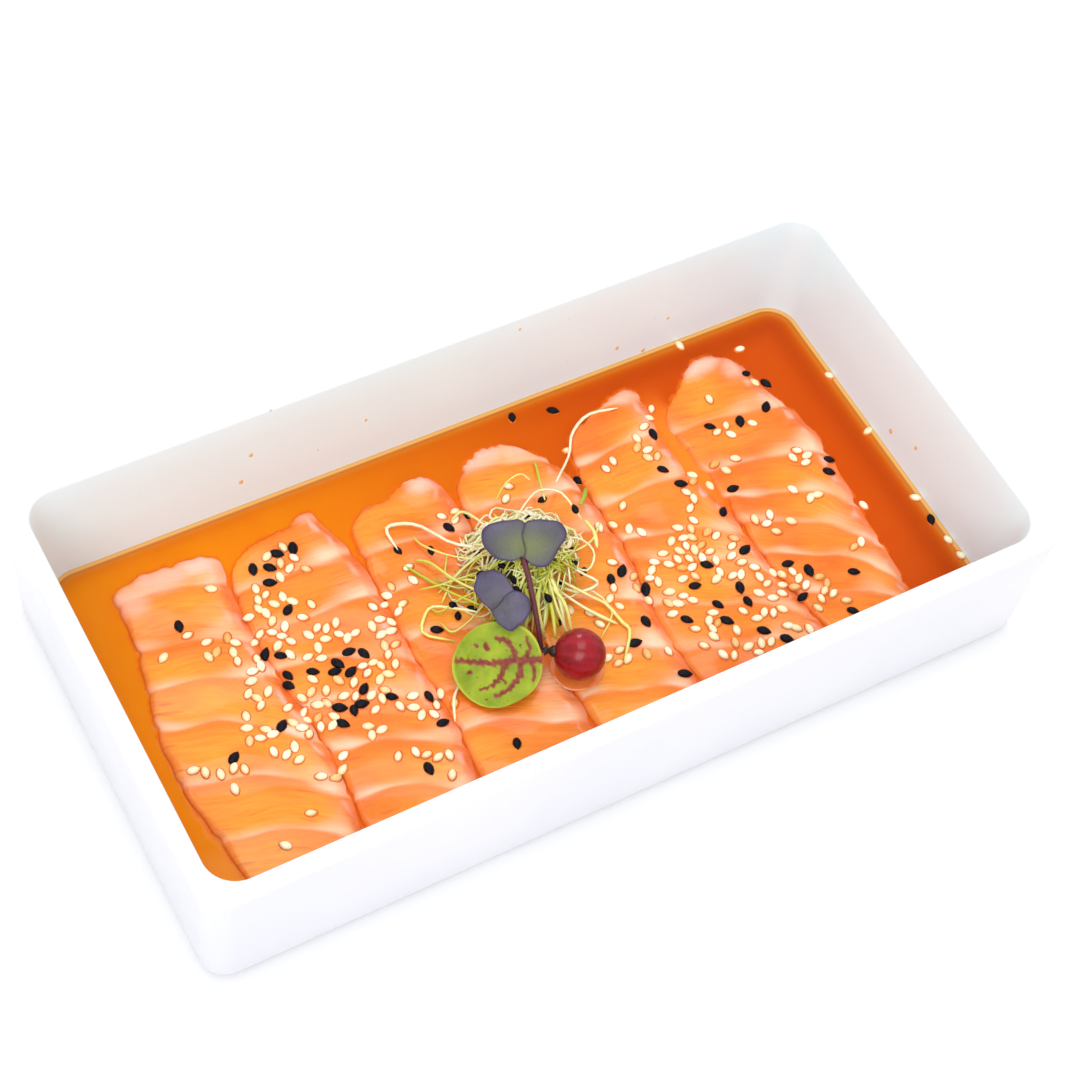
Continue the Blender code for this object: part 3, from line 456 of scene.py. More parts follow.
def slice_surface(index, name):
    """Grid of a slice's upper face, with the values that colour it at each point.

    The plan is straight-sided and drawn in at the corners. The height is full in the middle,
    falls as a quarter circle at the left and the ends and as a long slope at the right, and
    swells between the fat lines.
    """
    left, right, front, back = SLICES[name]
    across = crowded(ACROSS_STEPS, ACROSS_CROWDING)[None]
    along = crowded(ALONG_STEPS, ALONG_CROWDING)[:, None]
    end_front = through(END_STATIONS, front, across) * MM
    end_back = (through(END_STATIONS, back, across)
                + 0.3 * ripple(across * 24, across, 5.0, 130 + index)
                + 0.15 * ripple(across * 24, across, 1.8, 150 + index)) * MM
    length = end_back - end_front
    y = end_front + length * along
    ragged = 0.21 * ripple(y, y, 9 * MM, 10 + index) * smooth_step(4 * along * (1 - along))

    def side_edge(edge, outward, at_right):
        """X of a long edge: spread outward, ragged, and notched where a fat line ends."""
        notches = sum(np.exp(-((y / MM - start + drop * at_right) / NOTCH_REACH) ** 2)
                      for start, drop in FAT_LINES[name])
        return MM * (through(EDGE_STATIONS, edge, y / MM) + ragged
                     + outward * (SPREAD - NOTCH * notches))

    x_left = side_edge(left, -1, 0)
    width = side_edge(right, 1, 1) - x_left
    side = 2 * across - 1
    end = 2 * along - 1
    x = x_left + width / 2 * (1 + side * np.sqrt(1 - CORNER_ROUNDING * end ** 8))
    y = end_front + length / 2 * (1 + end * np.sqrt(1 - CORNER_ROUNDING * 0.4 * side ** 8))

    def swell(reach, seed):
        """Ripple over the slice, of a length in millimetres, its own for each slice."""
        return ripple(x, y, reach * MM, seed + index)

    wide_flank = WIDE_FLANKS.get(name, 0.0) * smooth_step((FLANK_FROM - y) / FLANK_RUN)
    from_left = across * width / (LEFT_REACH * (1 + wide_flank))
    from_right = (1 - across) * width / RIGHT_REACH
    from_back = (1 - along) * length / BACK_REACH
    height = (FISH_TOP - (FISH_TOP - LEFT_EDGE_TOP) * (1 - rounded(from_left))
              - (FISH_TOP - RIGHT_EDGE_TOP) * (1 - smooth_step(from_right))
              - END_DROP * (2 - rounded(along * length / FRONT_REACH) - rounded(from_back)))

    fall = 0.30 * across + 0.70 * across ** 2 + 0.035 * np.sin(9 * across + index)
    starts, drops = np.array(FAT_LINES[name][::-1]).T * MM
    grain = y + np.interp(y, starts, drops) * fall
    at_right = smooth_step((across - 0.42) / 0.5)
    at_left = smooth_step((0.36 - across) / 0.22)
    reach = (0.55 + 1.6 * at_right + 0.55 * at_left) * MM * (1 + 0.3 * swell(11, 50))
    drift = 0.35 * MM * swell(14, 30)
    # In front of each fat line the flesh turns a deeper orange: partly its own tone, partly painted
    # shade.
    fat, deep, band = np.zeros((3, *y.shape))
    for start, drop in zip(starts, drops):
        past = y - start + drop * fall - drift
        fat = np.maximum(fat, np.exp(-(np.where(past > 0, 0.6, 2.6) * past / reach) ** 2))
        deep = np.maximum(deep, (past < 0) * np.exp(-(past / DEEP_REACH) ** 2))
        band = band + 1.0 / (1.0 + np.exp(np.clip(past / BAND_EDGE, -30, 30)))
    fat = fat * (0.4 + 0.5 * at_right + 0.35 * at_left) * (0.72 + 0.36 * swell(10, 70))
    bulge = np.abs(np.sin(math.pi * band))
    wave = WAVE_HEIGHT * np.sin(
        2 * math.pi * (y + WAVE_SLANT * x) / WAVE_LENGTH + WAVE_SHIFT * index)
    height = height + smooth_step(from_right / 1.2) * smooth_step(from_left / 1.5) * (
        wave + (0.10 * fat + 0.10 * bulge * across + 0.12 * swell(13, 90)) * MM)

    pale = np.zeros_like(y)
    for flake_x, flake_y, reach_x, reach_y, rise, whiteness in FLAKES[name]:
        offset = ((x / MM - flake_x) / reach_x) ** 2 + ((y / MM - flake_y) / reach_y) ** 2
        height = height + rise * MM * np.exp(-offset * 1.4) * rounded(from_back)
        pale = np.maximum(pale, whiteness * np.exp(-offset ** 2))
    near_edge = np.maximum(1 - from_left / 1.6, 1 - from_right / 1.9)
    lobes = 0.5 + 0.5 * np.cos(2 * math.pi * band)
    pink = kept_in(0.6 * smooth_step(near_edge) + 0.6 * smooth_step(1 - from_right / 2.6) * lobes
                   + 0.22 * smooth_step(swell(22, 110)))
    gold = kept_in(GOLD[index] + 0.42 * swell(24, 190))
    # Low edges and the seams between slices are painted darker red: painted shade, partly the sauce
    # wetting them.
    seam = np.exp(-np.clip(height - SEAM_SHADE_LEVEL, 0, None) / SEAM_SHADE_FADE) * kept_in(
        0.6 + 0.45 * swell(17, 210))
    ragged = 0.5 + 0.5 * ripple(x, 0.7 * y, 3.5 * MM, 170 + index)
    silver = np.exp(-((from_right * RIGHT_REACH / MM - 1.6 - 0.7 * ragged) / 1.1) ** 2)
    silver = silver * smooth_step(1.7 * ragged - 0.7) * (0.2 + 0.6 * lobes)
    return dict(x=x, y=y, z=height, fat=kept_in(fat), pale=pale, pink=pink, grain=grain,
                deep=deep, silver=silver, gold=gold, seam=seam)


def slab(grid, low):
    """Closed body under a grid of heights: the grid, a wall round it, and strips underneath.

    The other values of the grid are held at its points and, below its rim, at the foot.
    """
    rows, columns = grid["x"].shape
    number = np.arange(rows * columns).reshape(rows, columns)
    rim = np.concatenate([number[0], number[1:, -1], number[-1, -2::-1], number[-2:0:-1, 0]])
    upper = np.stack([grid[axis] for axis in "xyz"], axis=-1).reshape(-1, 3)
    under = upper[rim] * np.array([1, 1, 0]) + np.array([0, 0, low])
    foot = rows * columns + np.arange(len(rim))
    wall = np.stack([foot, np.roll(foot, -1), np.roll(rim, -1), rim], axis=-1)
    right = foot[columns - 1:columns - 1 + rows]
    left = foot[-np.arange(rows) % len(rim)]
    strips = np.stack([left[1:-2], left[2:-1], right[2:-1], right[1:-2]], axis=-1)
    front_end = [left[1], right[1], *foot[columns - 1::-1]]
    back_end = [right[-2], left[-2], *foot[2 * columns + rows - 3:columns + rows - 3:-1]]
    faces = [*quads_of(rows, columns).tolist(), *wall.tolist(), *strips.tolist(), front_end,
             back_end]
    values = {key: np.append(value, value.ravel()[rim])
              for key, value in grid.items() if key not in "xyz"}
    return np.concatenate([upper, under]), faces, values


fish_paint = Paint("salmon_flesh", 0.34, Specular_IOR_Level=0.12, Coat_Weight=0.45,
                   Coat_Roughness=0.1, Subsurface_Weight=0.12, Subsurface_Scale=0.002,
                   Subsurface_Radius=(1.0, 0.35, 0.15))
fish_x = fish_paint.node("SeparateXYZ", "X", {"Vector": fish_paint.where})
on_fibre = fish_paint.node("CombineXYZ", "Vector", {
    "X": fish_paint.reckon("MULTIPLY", fish_x, 0.14), "Y": fish_paint.share("grain")})
mottle = fish_paint.cloud(0.008, 4.0)
fibre = fish_paint.cloud(0.0009, 4.0, (0.36, 0.66), on_fibre)
streak = fish_paint.cloud(0.0032, 3.0, (0.38, 0.66), on_fibre)
fleck = fish_paint.cloud(0.0013, 1.0, (0.66, 0.74), on_fibre)
# The pale colour of the fat lines is the fish's fat and partly painted sheen, palest towards the right
# edge.
fish_paint.base(mottle, (238, 130, 18), (224, 96, 12)).lay(
    # The deeper orange in front of the fat lines is partly painted shade.
    ("gold", (242, 162, 40), 0.8), ("deep", (228, 98, 10), 0.55), ("pink", (234, 116, 54)),
    (streak, (250, 166, 84), 0.22), (fibre, (226, 104, 32), 0.34), (fleck, (206, 88, 40), 0.5),
    # The darker red of the low edges is painted seam shade, partly wet sauce.
    ("fat", (249, 197, 164)), ("silver", (242, 178, 158)), ("seam", (206, 74, 16), 0.7),
    ("pale", (248, 184, 162)))
fish_relief = fish_paint.reckon("ADD", fibre, fish_paint.reckon("MULTIPLY", mottle, 1.5))
fish_material = fish_paint.finish(fish_relief, 0.00011)
surfaces = {name: slice_surface(index, name) for index, name in enumerate(SLICES)}
fish_pieces = [make_piece("fish_" + name, fish_material, "salmon", (name,), slab(surface, FISH_BASE))
               for name, surface in surfaces.items()]

# Sauce: a thin amber dressing from wall to wall, climbing a little at the walls and wetting the
# low edges of the fish. It is poured in last and lies level.
SAUCE_LEVEL = 7.1 * MM
MENISCUS_RISE = 0.8 * MM
MENISCUS_FALL = 0.75 * MM
FISH_RISE = 0.12 * MM
FISH_FALL = 0.5 * MM
SHALLOW_FALL = 0.7 * MM
THIN_REACH = 1.9 * MM
WARM_FROM = -55.0 * MM
WARM_RUN = 100.0 * MM
SHADE_RUN = 70.0 * MM
SHADE_OFF_WALL = 4.5 * MM
SHADE_WIDTH = 3.2 * MM
WALL_BITE = 0.12 * MM
POOL_STEP = 0.6 * MM
POOL_EDGE_STEPS = np.array([0.0, 0.12, 0.25, 0.4, 0.6, 0.85, 1.15, 1.5, 1.9, 2.4, 3.0]) * MM
MAP_STEP = 0.5 * MM
# Where the fish lies just under the surface between the last two slices, in millimetres
VEIL_PLACE = (47.0, 15.5)
VEIL_REACH = (3.2, 15.0)
VEIL_RISE = 0.6 * MM


def spaced(length):
    """Places along a length: close together at both ends and even between."""
    half = length / 2
    middle = np.linspace(-half + POOL_EDGE_STEPS[-1] + POOL_STEP,
                         half - POOL_EDGE_STEPS[-1] - POOL_STEP,
                         int((length - 2 * POOL_EDGE_STEPS[-1]) / POOL_STEP))
    return np.concatenate([-half + POOL_EDGE_STEPS, middle, (half - POOL_EDGE_STEPS)[::-1]])


def cells(x, y):
    """Row and column of places in the map of heights."""
    return tuple(np.rint((place + side / 2) / MAP_STEP).astype(int)
                 for place, side in ((y, RIM_SIZE[1]), (x, RIM_SIZE[0])))


fish_map = np.full([int(side / MAP_STEP) + 1 for side in RIM_SIZE[::-1]], FISH_BASE)
for surface in surfaces.values():
    np.maximum.at(fish_map, cells(surface["x"], surface["y"]), surface["z"])
pool_size = np.array(inner_size(SAUCE_LEVEL)) + 2 * WALL_BITE
straight = pool_size / 2 - INNER_CORNER
pool_y = spaced(pool_size[1])[:, None]
beyond = np.clip(np.abs(pool_y) - straight[1], 0, INNER_CORNER)
row_half = straight[0] + np.sqrt(INNER_CORNER ** 2 - beyond ** 2)
pool_x = spaced(pool_size[0]) / (pool_size[0] / 2) * row_half
pool_y = pool_y + 0 * pool_x
over_x = np.abs(pool_x) - straight[0]
over_y = np.abs(pool_y) - straight[1]
from_wall = np.clip(INNER_CORNER - np.hypot(np.clip(over_x, 0, None), np.clip(over_y, 0, None))
                    - np.minimum(np.maximum(over_x, over_y), 0), 0, None)
over_fish = np.clip(SAUCE_LEVEL - fish_map[cells(pool_x, pool_y)], 0, None)
veil = np.exp(-((pool_x / MM - VEIL_PLACE[0]) / VEIL_REACH[0]) ** 4
              - ((pool_y / MM - VEIL_PLACE[1]) / VEIL_REACH[1]) ** 4)
pool_top = (SAUCE_LEVEL + MENISCUS_RISE * np.exp(-from_wall / MENISCUS_FALL)
            + FISH_RISE * np.exp(-over_fish / FISH_FALL) + VEIL_RISE * veil)
shade = smooth_step(pool_x / SHADE_RUN) * np.exp(
    -((from_wall - SHADE_OFF_WALL) / SHADE_WIDTH) ** 2)
pool = dict(x=pool_x, y=pool_y, z=pool_top, warm=smooth_step((pool_x - WARM_FROM) / WARM_RUN),
            shade=shade, shallow=np.exp(-over_fish / SHALLOW_FALL),
            thin=np.exp(-(from_wall / THIN_REACH) ** 1.4), veil=veil)


def ramp(paint, share, *stops):
    """Colour read off a scale, whose stops are places from 0 to 1 with their colours."""
    colour = paint.node("ValToRGB", "Color", {"Fac": paint.share(share)})
    scale = colour.node.color_ramp.elements
    scale.remove(scale[1])
    scale[0].position = stops[0][0]
    scale[0].color = srgb(*stops[0][1])
    for place, tone in stops[1:]:
        scale.new(place).color = srgb(*tone)
    return colour


sauce_paint = Paint("sauce_amber", 0.06, Specular_IOR_Level=0.1)
rim_tone = ramp(sauce_paint, "thin", (0.15, (200, 88, 4)), (0.5, (206, 116, 26)),
                (0.7, (182, 100, 26)), (0.85, (232, 176, 96)), (1.0, (206, 160, 100)))
sauce_paint.base("warm", (222, 126, 5), (192, 70, 0)).lay(
    (0.012, (200, 82, 1), 0.25), ("shade", (168, 56, 0), 0.6), ("shallow", (222, 100, 10)),
    ("veil", (240, 126, 36)), ("thin", rim_tone, 1.6))
sauce_pool = make_piece("sauce_pool", sauce_paint.finish((0.02, 1.0), 0.00008), "sauce", ("sauce",),
                        slab(pool, FISH_BASE))

# Sesame: about three hundred white seeds and seventy black ones, toasted, each a plump drop
# near 3 mm long. They are strewn by hand over the fish and lie flat, each in a ring of sauce.
SEED_LENGTH = 2.6 * MM
SEED_WIDTH = 1.66 * MM
SEED_HEIGHT = 1.05 * MM
BLACK_GAIN = 1.2
SEED_LIFT = 0.18 * MM
SEED_TAPER = 0.66
SEED_SPACING = 1.85 * MM
SEED_TRIES = 14
SEED_CEILING = 10 * MM
SEED_DRAW = 41
RING_REACH = 0.16 * MM
RING_HEIGHT = 0.2 * MM
# How far along a seed its turn is read in the photograph, and how much it lies towards level
TURN_REACH = 3
LEVELLING = 0.6
# Black seeds: place in the photograph and turn there in degrees, clockwise from the right
BLACK_SEEDS = (
    (179, 627, 75), (253, 570, 80), (270, 568, 15), (270, 583, 0), (277, 554, 10), (293, 549, 80),
    (288, 610, -60), (265, 655, -75), (281, 656, 5), (313, 672, 5), (349, 652, -20), (364, 654, 40),
    (338, 664, 30), (335, 672, -15), (351, 672, -45), (288, 676, 40), (289, 686, 20), (364, 689, -65),
    (340, 708, 5), (362, 704, -10), (354, 711, 75), (392, 697, 10), (282, 726, -60), (343, 724, 20),
    (234, 758, -55), (429, 697, 60), (443, 723, -15), (429, 769, 60), (517, 744, 80), (746, 374, -10),
    (766, 384, 35), (766, 407, -80), (710, 427, 10), (740, 422, 80), (653, 435, 60), (663, 470, 20),
    (681, 484, 5), (733, 489, -20), (723, 512, -80), (829, 460, 15), (829, 472, 25), (745, 550, -40),
    (707, 565, 15), (788, 564, -15), (809, 571, 65), (854, 572, 5), (695, 586, -10), (740, 588, 75),
    (803, 597, -40), (748, 602, 55), (718, 605, 30), (687, 620, 20), (727, 621, 20), (853, 611, 15),
    (764, 631, 15), (787, 639, 20), (931, 520, 75), (512, 418, 80), (553, 411, 10), (579, 481, 0),
    (622, 571, -75), (611, 580, 80), (646, 590, 80), (646, 622, 55), (635, 643, -15), (685, 674, 12),
    (557, 621, 50), (437, 630, 5), (468, 516, 0), (449, 528, 35),
)
# White seeds: middle of each patch in the photograph, its spread there, and how many; or the
# middle alone for a single seed
WHITE_PATCHES = (
    (283, 562, 12, 8, 10), (272, 608, 11, 12, 16), (222, 650, 13, 7, 7), (280, 648, 13, 7, 8),
    (318, 643, 9, 7, 6), (254, 690, 6, 12, 7), (352, 635, 8, 6, 4), (384, 607, 6, 11, 9),
    (362, 672, 13, 7, 9), (387, 646, 10, 8, 6), (318, 700, 13, 7, 13), (372, 700, 12, 6, 6),
    (318, 718, 13, 6, 11), (246, 722, 3, 8, 3), (272, 733, 9, 4, 3), (285, 752, 10, 4, 4),
    (222, 770, 13, 3, 5), (236, 790), (312, 815), (285, 845), (340, 770, 10, 7, 4), (372, 732, 3, 4, 3),
    (425, 755, 13, 4, 5), (430, 704, 13, 7, 8), (453, 775), (162, 658), (189, 634), (210, 590),
    (445, 520, 9, 6, 3), (502, 493, 4, 5, 2), (412, 575, 5, 5, 2), (648, 432, 6, 15, 8),
    (607, 469, 3, 4, 2), (567, 452), (687, 485, 3, 9, 2), (611, 522, 13, 12, 5), (672, 523, 9, 4, 2),
    (686, 549, 9, 12, 13), (612, 567, 3, 3, 1), (634, 580, 3, 5, 2), (654, 570, 6, 5, 3),
    (650, 599, 2, 2, 1), (674, 600, 7, 5, 4), (614, 596, 4, 7, 3), (585, 611, 3, 2, 1),
    (565, 613, 4, 3, 2), (727, 428, 14, 10, 5), (755, 383), (721, 462, 13, 4, 3), (797, 456, 6, 5, 4),
    (806, 495, 12, 3, 3), (692, 500, 5, 12, 3), (710, 485), (767, 521, 16, 6, 5), (684, 538, 5, 5, 3),
    (714, 536), (734, 541, 2, 4, 2), (697, 560, 15, 5, 8), (742, 573, 15, 5, 9), (778, 571, 4, 3, 2),
    (803, 580, 9, 5, 5), (859, 546, 3, 4, 2), (775, 590, 8, 6, 5), (833, 600, 12, 4, 5),
    (675, 600, 9, 5, 3), (763, 612, 10, 3, 5), (688, 573, 3, 3, 2), (722, 626, 13, 5, 9),
    (735, 651, 10, 4, 6), (627, 656, 8, 4, 5), (671, 652), (677, 614), (774, 640, 6, 2, 3),
    (804, 629, 7, 3, 3), (585, 611, 2, 2, 1), (599, 624), (828, 376), (868, 431), (915, 497),
    (949, 540), (959, 555), (739, 350), (864, 507), (679, 346),
)


def tree_of(*pieces):
    """Search tree over the faces of several pieces."""
    points, faces = joined(*([[corner.co for corner in piece.data.vertices],
                              [face.vertices for face in piece.data.polygons]] for piece in pieces))
    return BVHTree.FromPolygons(points.tolist(), faces)


def fan(tip, ring):
    """Triangles from one point to a closed ring of points."""
    return np.stack([np.full_like(ring, tip), np.roll(ring, -1), ring], axis=-1).tolist()


def ball(rows, sides):
    """Unit sphere about X: rings of points between two end points."""
    turn = np.repeat(math.pi * np.arange(1, rows) / rows, sides)
    around = np.tile(-2 * math.pi * np.arange(sides) / sides, rows - 1)
    rings = np.column_stack([np.cos(turn), np.sin(turn) * np.cos(around),
                             np.sin(turn) * np.sin(around)])
    points = np.concatenate([[(1.0, 0.0, 0.0)], rings, [(-1.0, 0.0, 0.0)]])
    tail = len(points) - 1
    faces = [*(quads_of(rows - 1, sides, wrap=True) + 1).tolist(), *fan(0, np.arange(1, 1 + sides)),
             *fan(tail, np.arange(tail - sides, tail)[::-1])]
    return points, faces


def unit(vectors):
    """Vectors brought to length 1."""
    return vectors / np.linalg.norm(vectors, axis=-1, keepdims=True)


def axes_from(up, ahead):
    """Three square directions: ahead, aside and up, from an upward one and a rough forward one."""
    up = unit(up)
    ahead = unit(ahead - up * (ahead @ up))
    return np.stack([ahead, np.cross(up, ahead), up])


def copies(shape, places, sizes):
    """A small shape many times, each stretched, and put at its centre with its axes."""
    points, faces = shape
    centres, axes = (np.array(part) for part in zip(*places))
    stretched = points[None] * np.broadcast_to(sizes, centres.shape)[:, None]
    every = [[corner + copy * len(points) for corner in face]
             for copy in range(len(centres)) for face in faces]
    placed = np.einsum("nvk,nkj->nvj", stretched, axes) + centres[:, None]
    return placed.reshape(-1, 3), every


def seen_at(tree, u, v):
    """Place and outward direction of the surface that a pixel of the photograph shows."""
    place, outward = tree.ray_cast(CAMERA_PLACE, sight(u, v))[:2]
    return np.array(place), np.array(outward)


def lay_seed(tree, u, v, turn):
    """Centre and axes of a seed that lies on what a pixel shows, turned as seen there."""
    place, outward = seen_at(tree, u, v)
    beside = seen_at(tree, u + TURN_REACH * math.cos(turn), v + TURN_REACH * math.sin(turn))[0]
    axes = axes_from(outward + np.array([0.0, 0.0, LEVELLING]), beside - place)
    return place + axes[2] * SEED_LIFT, axes


table_top = tree_of(*fish_pieces, sauce_pool, tray_shell)
draw = np.random.default_rng(SEED_DRAW)
black = [lay_seed(table_top, u, v, math.radians(turn)) for u, v, turn in BLACK_SEEDS]
white = []
taken = [centre[:2] for centre, _ in black]
for patch_u, patch_v, *extent in WHITE_PATCHES:
    spread_u, spread_v, count = extent or (1, 1, 1)
    for _ in range(count):
        for _ in range(SEED_TRIES):
            u, v = patch_u + spread_u * draw.normal(), patch_v + spread_v * draw.normal()
            seed = lay_seed(table_top, u, v, draw.uniform(0, 2 * math.pi))
            clear = np.min(np.linalg.norm(np.array(taken) - seed[0][:2], axis=1)) > SEED_SPACING
            if clear and (count == 1 or seed[0][2] < SEED_CEILING):
                taken.append(seed[0][:2])
                white.append(seed)
                break

seed_points, seed_faces = ball(6, 8)
seed_tip = kept_in(seed_points[:, 0])
seed_points[:, 1:] *= 1 - SEED_TAPER * seed_tip[:, None] ** 2


def strew(name, seeds, material, slot, gain):
    """All seeds of one kind as one mesh, with a tone for each and its pointed end marked."""
    scale = gain * draw.uniform(0.86, 1.08, (len(seeds), 1))
    sizes = np.array([SEED_LENGTH, SEED_WIDTH, SEED_HEIGHT]) / 2 * scale
    values = {"tone": np.repeat(draw.uniform(0, 1, len(seeds)), len(seed_points)),
              "tip": np.tile(seed_tip, len(seeds))}
    make_piece(name, material, slot, (), (*copies((seed_points, seed_faces), seeds, sizes), values))


cream = Paint("sesame_cream", 0.42, Subsurface_Weight=0.25, Subsurface_Scale=0.001,
              Coat_Weight=0.35, Coat_Roughness=0.2)
cream.base("tone", (250, 238, 208), (244, 220, 168)).lay(
    (cream.reckon("POWER", "tip", 3.0), (214, 160, 88)),
    (cream.reckon("POWER", "tone", 9.0), (226, 160, 70)))
black_material = Paint("sesame_black", 0.3, Specular_IOR_Level=0.1).base(
    0.0006, (5, 5, 10), (16, 18, 30)).lay(("tone", (32, 28, 34), 0.3)).finish(0.0003, 0.00005)
strew("sesame_white_seeds", white, cream.finish(0.0005, 0.00003), "sesame_white", 1.0)
strew("sesame_black_seeds", black, black_material, "sesame_black", BLACK_GAIN)

ring_shape = ball(6, 12)
ring_size = (SEED_LENGTH / 2 + RING_REACH, SEED_WIDTH / 2 + RING_REACH, RING_HEIGHT)
ring_places = [(centre - axes[2] * SEED_LIFT, axes) for centre, axes in white + black]
ring_paint = Paint("sauce_film", 0.08, Specular_IOR_Level=0.4)
ring_paint.base(0.01, (208, 88, 6), (226, 116, 26))
make_piece("sauce_rings", ring_paint.finish(), "sauce", (),
           (*copies(ring_shape, ring_places, ring_size), {}))

# Sprouts: a loose tangle of young clover and onion sprouts, white at the root and yellow-green
# at the top, with some black seed coats still on. It is set down on the fish as one pinch.
HEAP_CENTRE = np.array([0.3, 3.6]) * MM
HEAP_RADIUS = 12.6 * MM
HEAP_HEIGHT = 11.0 * MM
HEAP_GROUND = 9.0 * MM
CORE_SHARE = 0.56
CORE_TOP = 0.74
SPROUT_DRAW = 12
CHORD_COUNT = 150
SPIKE_COUNT = 40
BUNDLE_COUNT = 24
ROOT_COUNT = 72
# The heap is drawn in at its front right: direction, width and share
HOLLOW_TURN = math.radians(-58)
HOLLOW_WIDTH = 0.85
HOLLOW_SHARE = 0.34
STEM_STEPS = 14
STEM_SIDES = 5
COAT_SIZE = np.array([2.3, 1.5, 1.1]) / 2 * MM
# Stray stems: route in the photograph with the height over the food in millimetres, then how
# green each end is and the radius in millimetres
STRAYS = (
    (((556, 482, 7), (569, 455, 2.5), (572, 434, 1.2), (588, 415, 0.6), (618, 408, 0.4)), 0, 0.1, 0.34),
    (((484, 548, 6), (452, 543, 3), (420, 526, 1.5), (398, 524, 1.2), (386, 530, 0.8), (398, 550, 0.6)),
     0, 0.1, 0.36),
    (((480, 592, 5), (455, 580, 3), (430, 563, 1.5), (415, 560, 0.7)), 0.4, 0.8, 0.3),
    (((480, 605, 4), (450, 592, 2), (425, 578, 0.8), (405, 566, 0.5)), 0.7, 0.9, 0.3),
    (((478, 612, 4), (452, 608, 2), (432, 607, 1), (424, 618, 0.6), (424, 634, 0.5), (455, 641, 0.6)),
     0.2, 0.6, 0.34),
    (((556, 578, 6), (590, 596, 2.5), (606, 604, 1.2), (622, 622, 0.7), (630, 632, 0.5), (624, 662, 0.4)),
     0.3, 0.5, 0.38),
    (((552, 586, 5), (580, 605, 2), (600, 616, 1), (618, 624, 0.6)), 0.1, 0.4, 0.36),
    (((562, 560, 6), (580, 572, 4), (598, 583, 2.5), (578, 592, 2.5), (552, 583, 4)), 0, 0.2, 0.32),
    (((545, 500, 8), (540, 482, 4), (536, 466, 1), (533, 462, 0.6)), 0.5, 0.9, 0.3),
    (((585, 520, 4), (594, 532, 3), (597, 548, 2)), 0.5, 0.3, 0.42),
    (((580, 505, 4), (584, 497, 4), (586, 488, 3)), 0.9, 1.0, 0.5),
    (((500, 565, 7), (470, 575, 4), (440, 585, 2), (418, 590, 1)), 0.5, 0.8, 0.2),
    (((490, 585, 5), (462, 598, 3), (440, 612, 1.2), (428, 606, 0.8)), 0.6, 0.9, 0.2),
    (((484, 560, 6), (452, 556, 3.5), (424, 546, 1.4), (412, 536, 0.8)), 0.3, 0.7, 0.2),
    (((486, 602, 4), (468, 622, 2), (452, 632, 1), (440, 622, 0.6)), 0.5, 0.7, 0.22),
    (((552, 540, 7), (578, 538, 5), (594, 552, 3), (588, 570, 2.5), (570, 566, 4)), 0, 0.3, 0.24),
    (((548, 556, 7), (572, 552, 5), (592, 540, 3), (600, 522, 1.5)), 0.1, 0.6, 0.2),
    (((545, 590, 5), (566, 598, 3), (590, 590, 1.6), (612, 612, 0.7), (600, 640, 0.5)), 0.1, 0.5, 0.2),
    (((530, 480, 5), (520, 474, 3), (505, 484, 3), (496, 500, 4)), 0.2, 0.7, 0.2),
    (((466, 676, 1.5), (458, 688, 0.6), (454, 700, 0.4), (455, 722, 0.4)), 0, 0.1, 0.3),
    (((515, 520, 9), (528, 500, 8), (540, 490, 7), (560, 492, 7), (574, 508, 6), (582, 520, 5)),
     0, 0.1, 0.22),
    (((500, 540, 8), (478, 520, 4), (462, 512, 2), (452, 520, 1)), 0.1, 0.5, 0.3),
)
# Black seed coats caught in the heap: place in the photograph
SEED_COATS = (
    (542, 500), (527, 517), (575, 509), (573, 549), (574, 563), (583, 572), (513, 580), (502, 566),
    (481, 574), (453, 605), (458, 616), (472, 609), (562, 584), (431, 551), (477, 554), (398, 551),
    (517, 590), (548, 598),
)


def above(tree, u, v, lift):
    """Place on a pixel's ray of sight that is some way higher than the surface it meets."""
    place = seen_at(tree, u, v)[0]
    ray = np.array(sight(u, v))
    return place + ray * lift / ray[2]


def along_curve(controls, steps):
    """Points of many curves at once, each through its control points in turn."""
    count = controls.shape[1]
    at = np.linspace(0, count - 1, steps)
    return np.array([[through(np.arange(count), line, at) for line in one.T]
                     for one in controls]).transpose(0, 2, 1)


def tubes(routes, radii, sides):
    """Round tubes along many routes at once, closed at both ends.

    At each point of a route a ring of points stands square to it.
    """
    ahead = unit(np.gradient(routes, axis=1))
    aside = unit(np.cross(ahead, np.array([0.31, 0.17, 0.94])))
    over = np.cross(ahead, aside)
    turn = 2 * math.pi * np.arange(sides) / sides
    ring = np.cos(turn)[:, None] * aside[:, :, None] + np.sin(turn)[:, None] * over[:, :, None]
    points = routes[:, :, None] + ring * radii[:, :, None, None]
    count, steps = routes.shape[:2]
    faces = []
    for tube in range(count):
        first = tube * steps * sides
        last = first + (steps - 1) * sides
        faces += (quads_of(steps, sides, wrap=True) + first).tolist()
        faces += [range(first + sides - 1, first - 1, -1), range(last, last + sides)]
    return points.reshape(-1, 3), faces


def turned(ahead, aside, turn):
    """Lengths ahead and aside of a turned direction, as X and Y."""
    return np.array([ahead * np.cos(turn) - aside * np.sin(turn),
                     ahead * np.sin(turn) + aside * np.cos(turn)])


def on_heap(place, lift):
    """Places over the heap's dome, or over the fish beside it, at a height above either."""
    off = np.angle(np.exp(1j * (np.arctan2(place[1], place[0]) - HOLLOW_TURN)))
    x, y = place * (1 - HOLLOW_SHARE * np.exp(-(off / HOLLOW_WIDTH) ** 2))
    dome = HEAP_HEIGHT * (1 - kept_in(np.hypot(x, y) / HEAP_RADIUS) ** 2.2) ** 0.8
    return np.stack([HEAP_CENTRE[0] + x, HEAP_CENTRE[1] + y, HEAP_GROUND + dome + lift], axis=-1)


def pick(low, high, count, columns=1):
    """Random values, one row for each stem."""
    return draw.uniform(low, high, (count, columns))


draw = np.random.default_rng(SPROUT_DRAW)
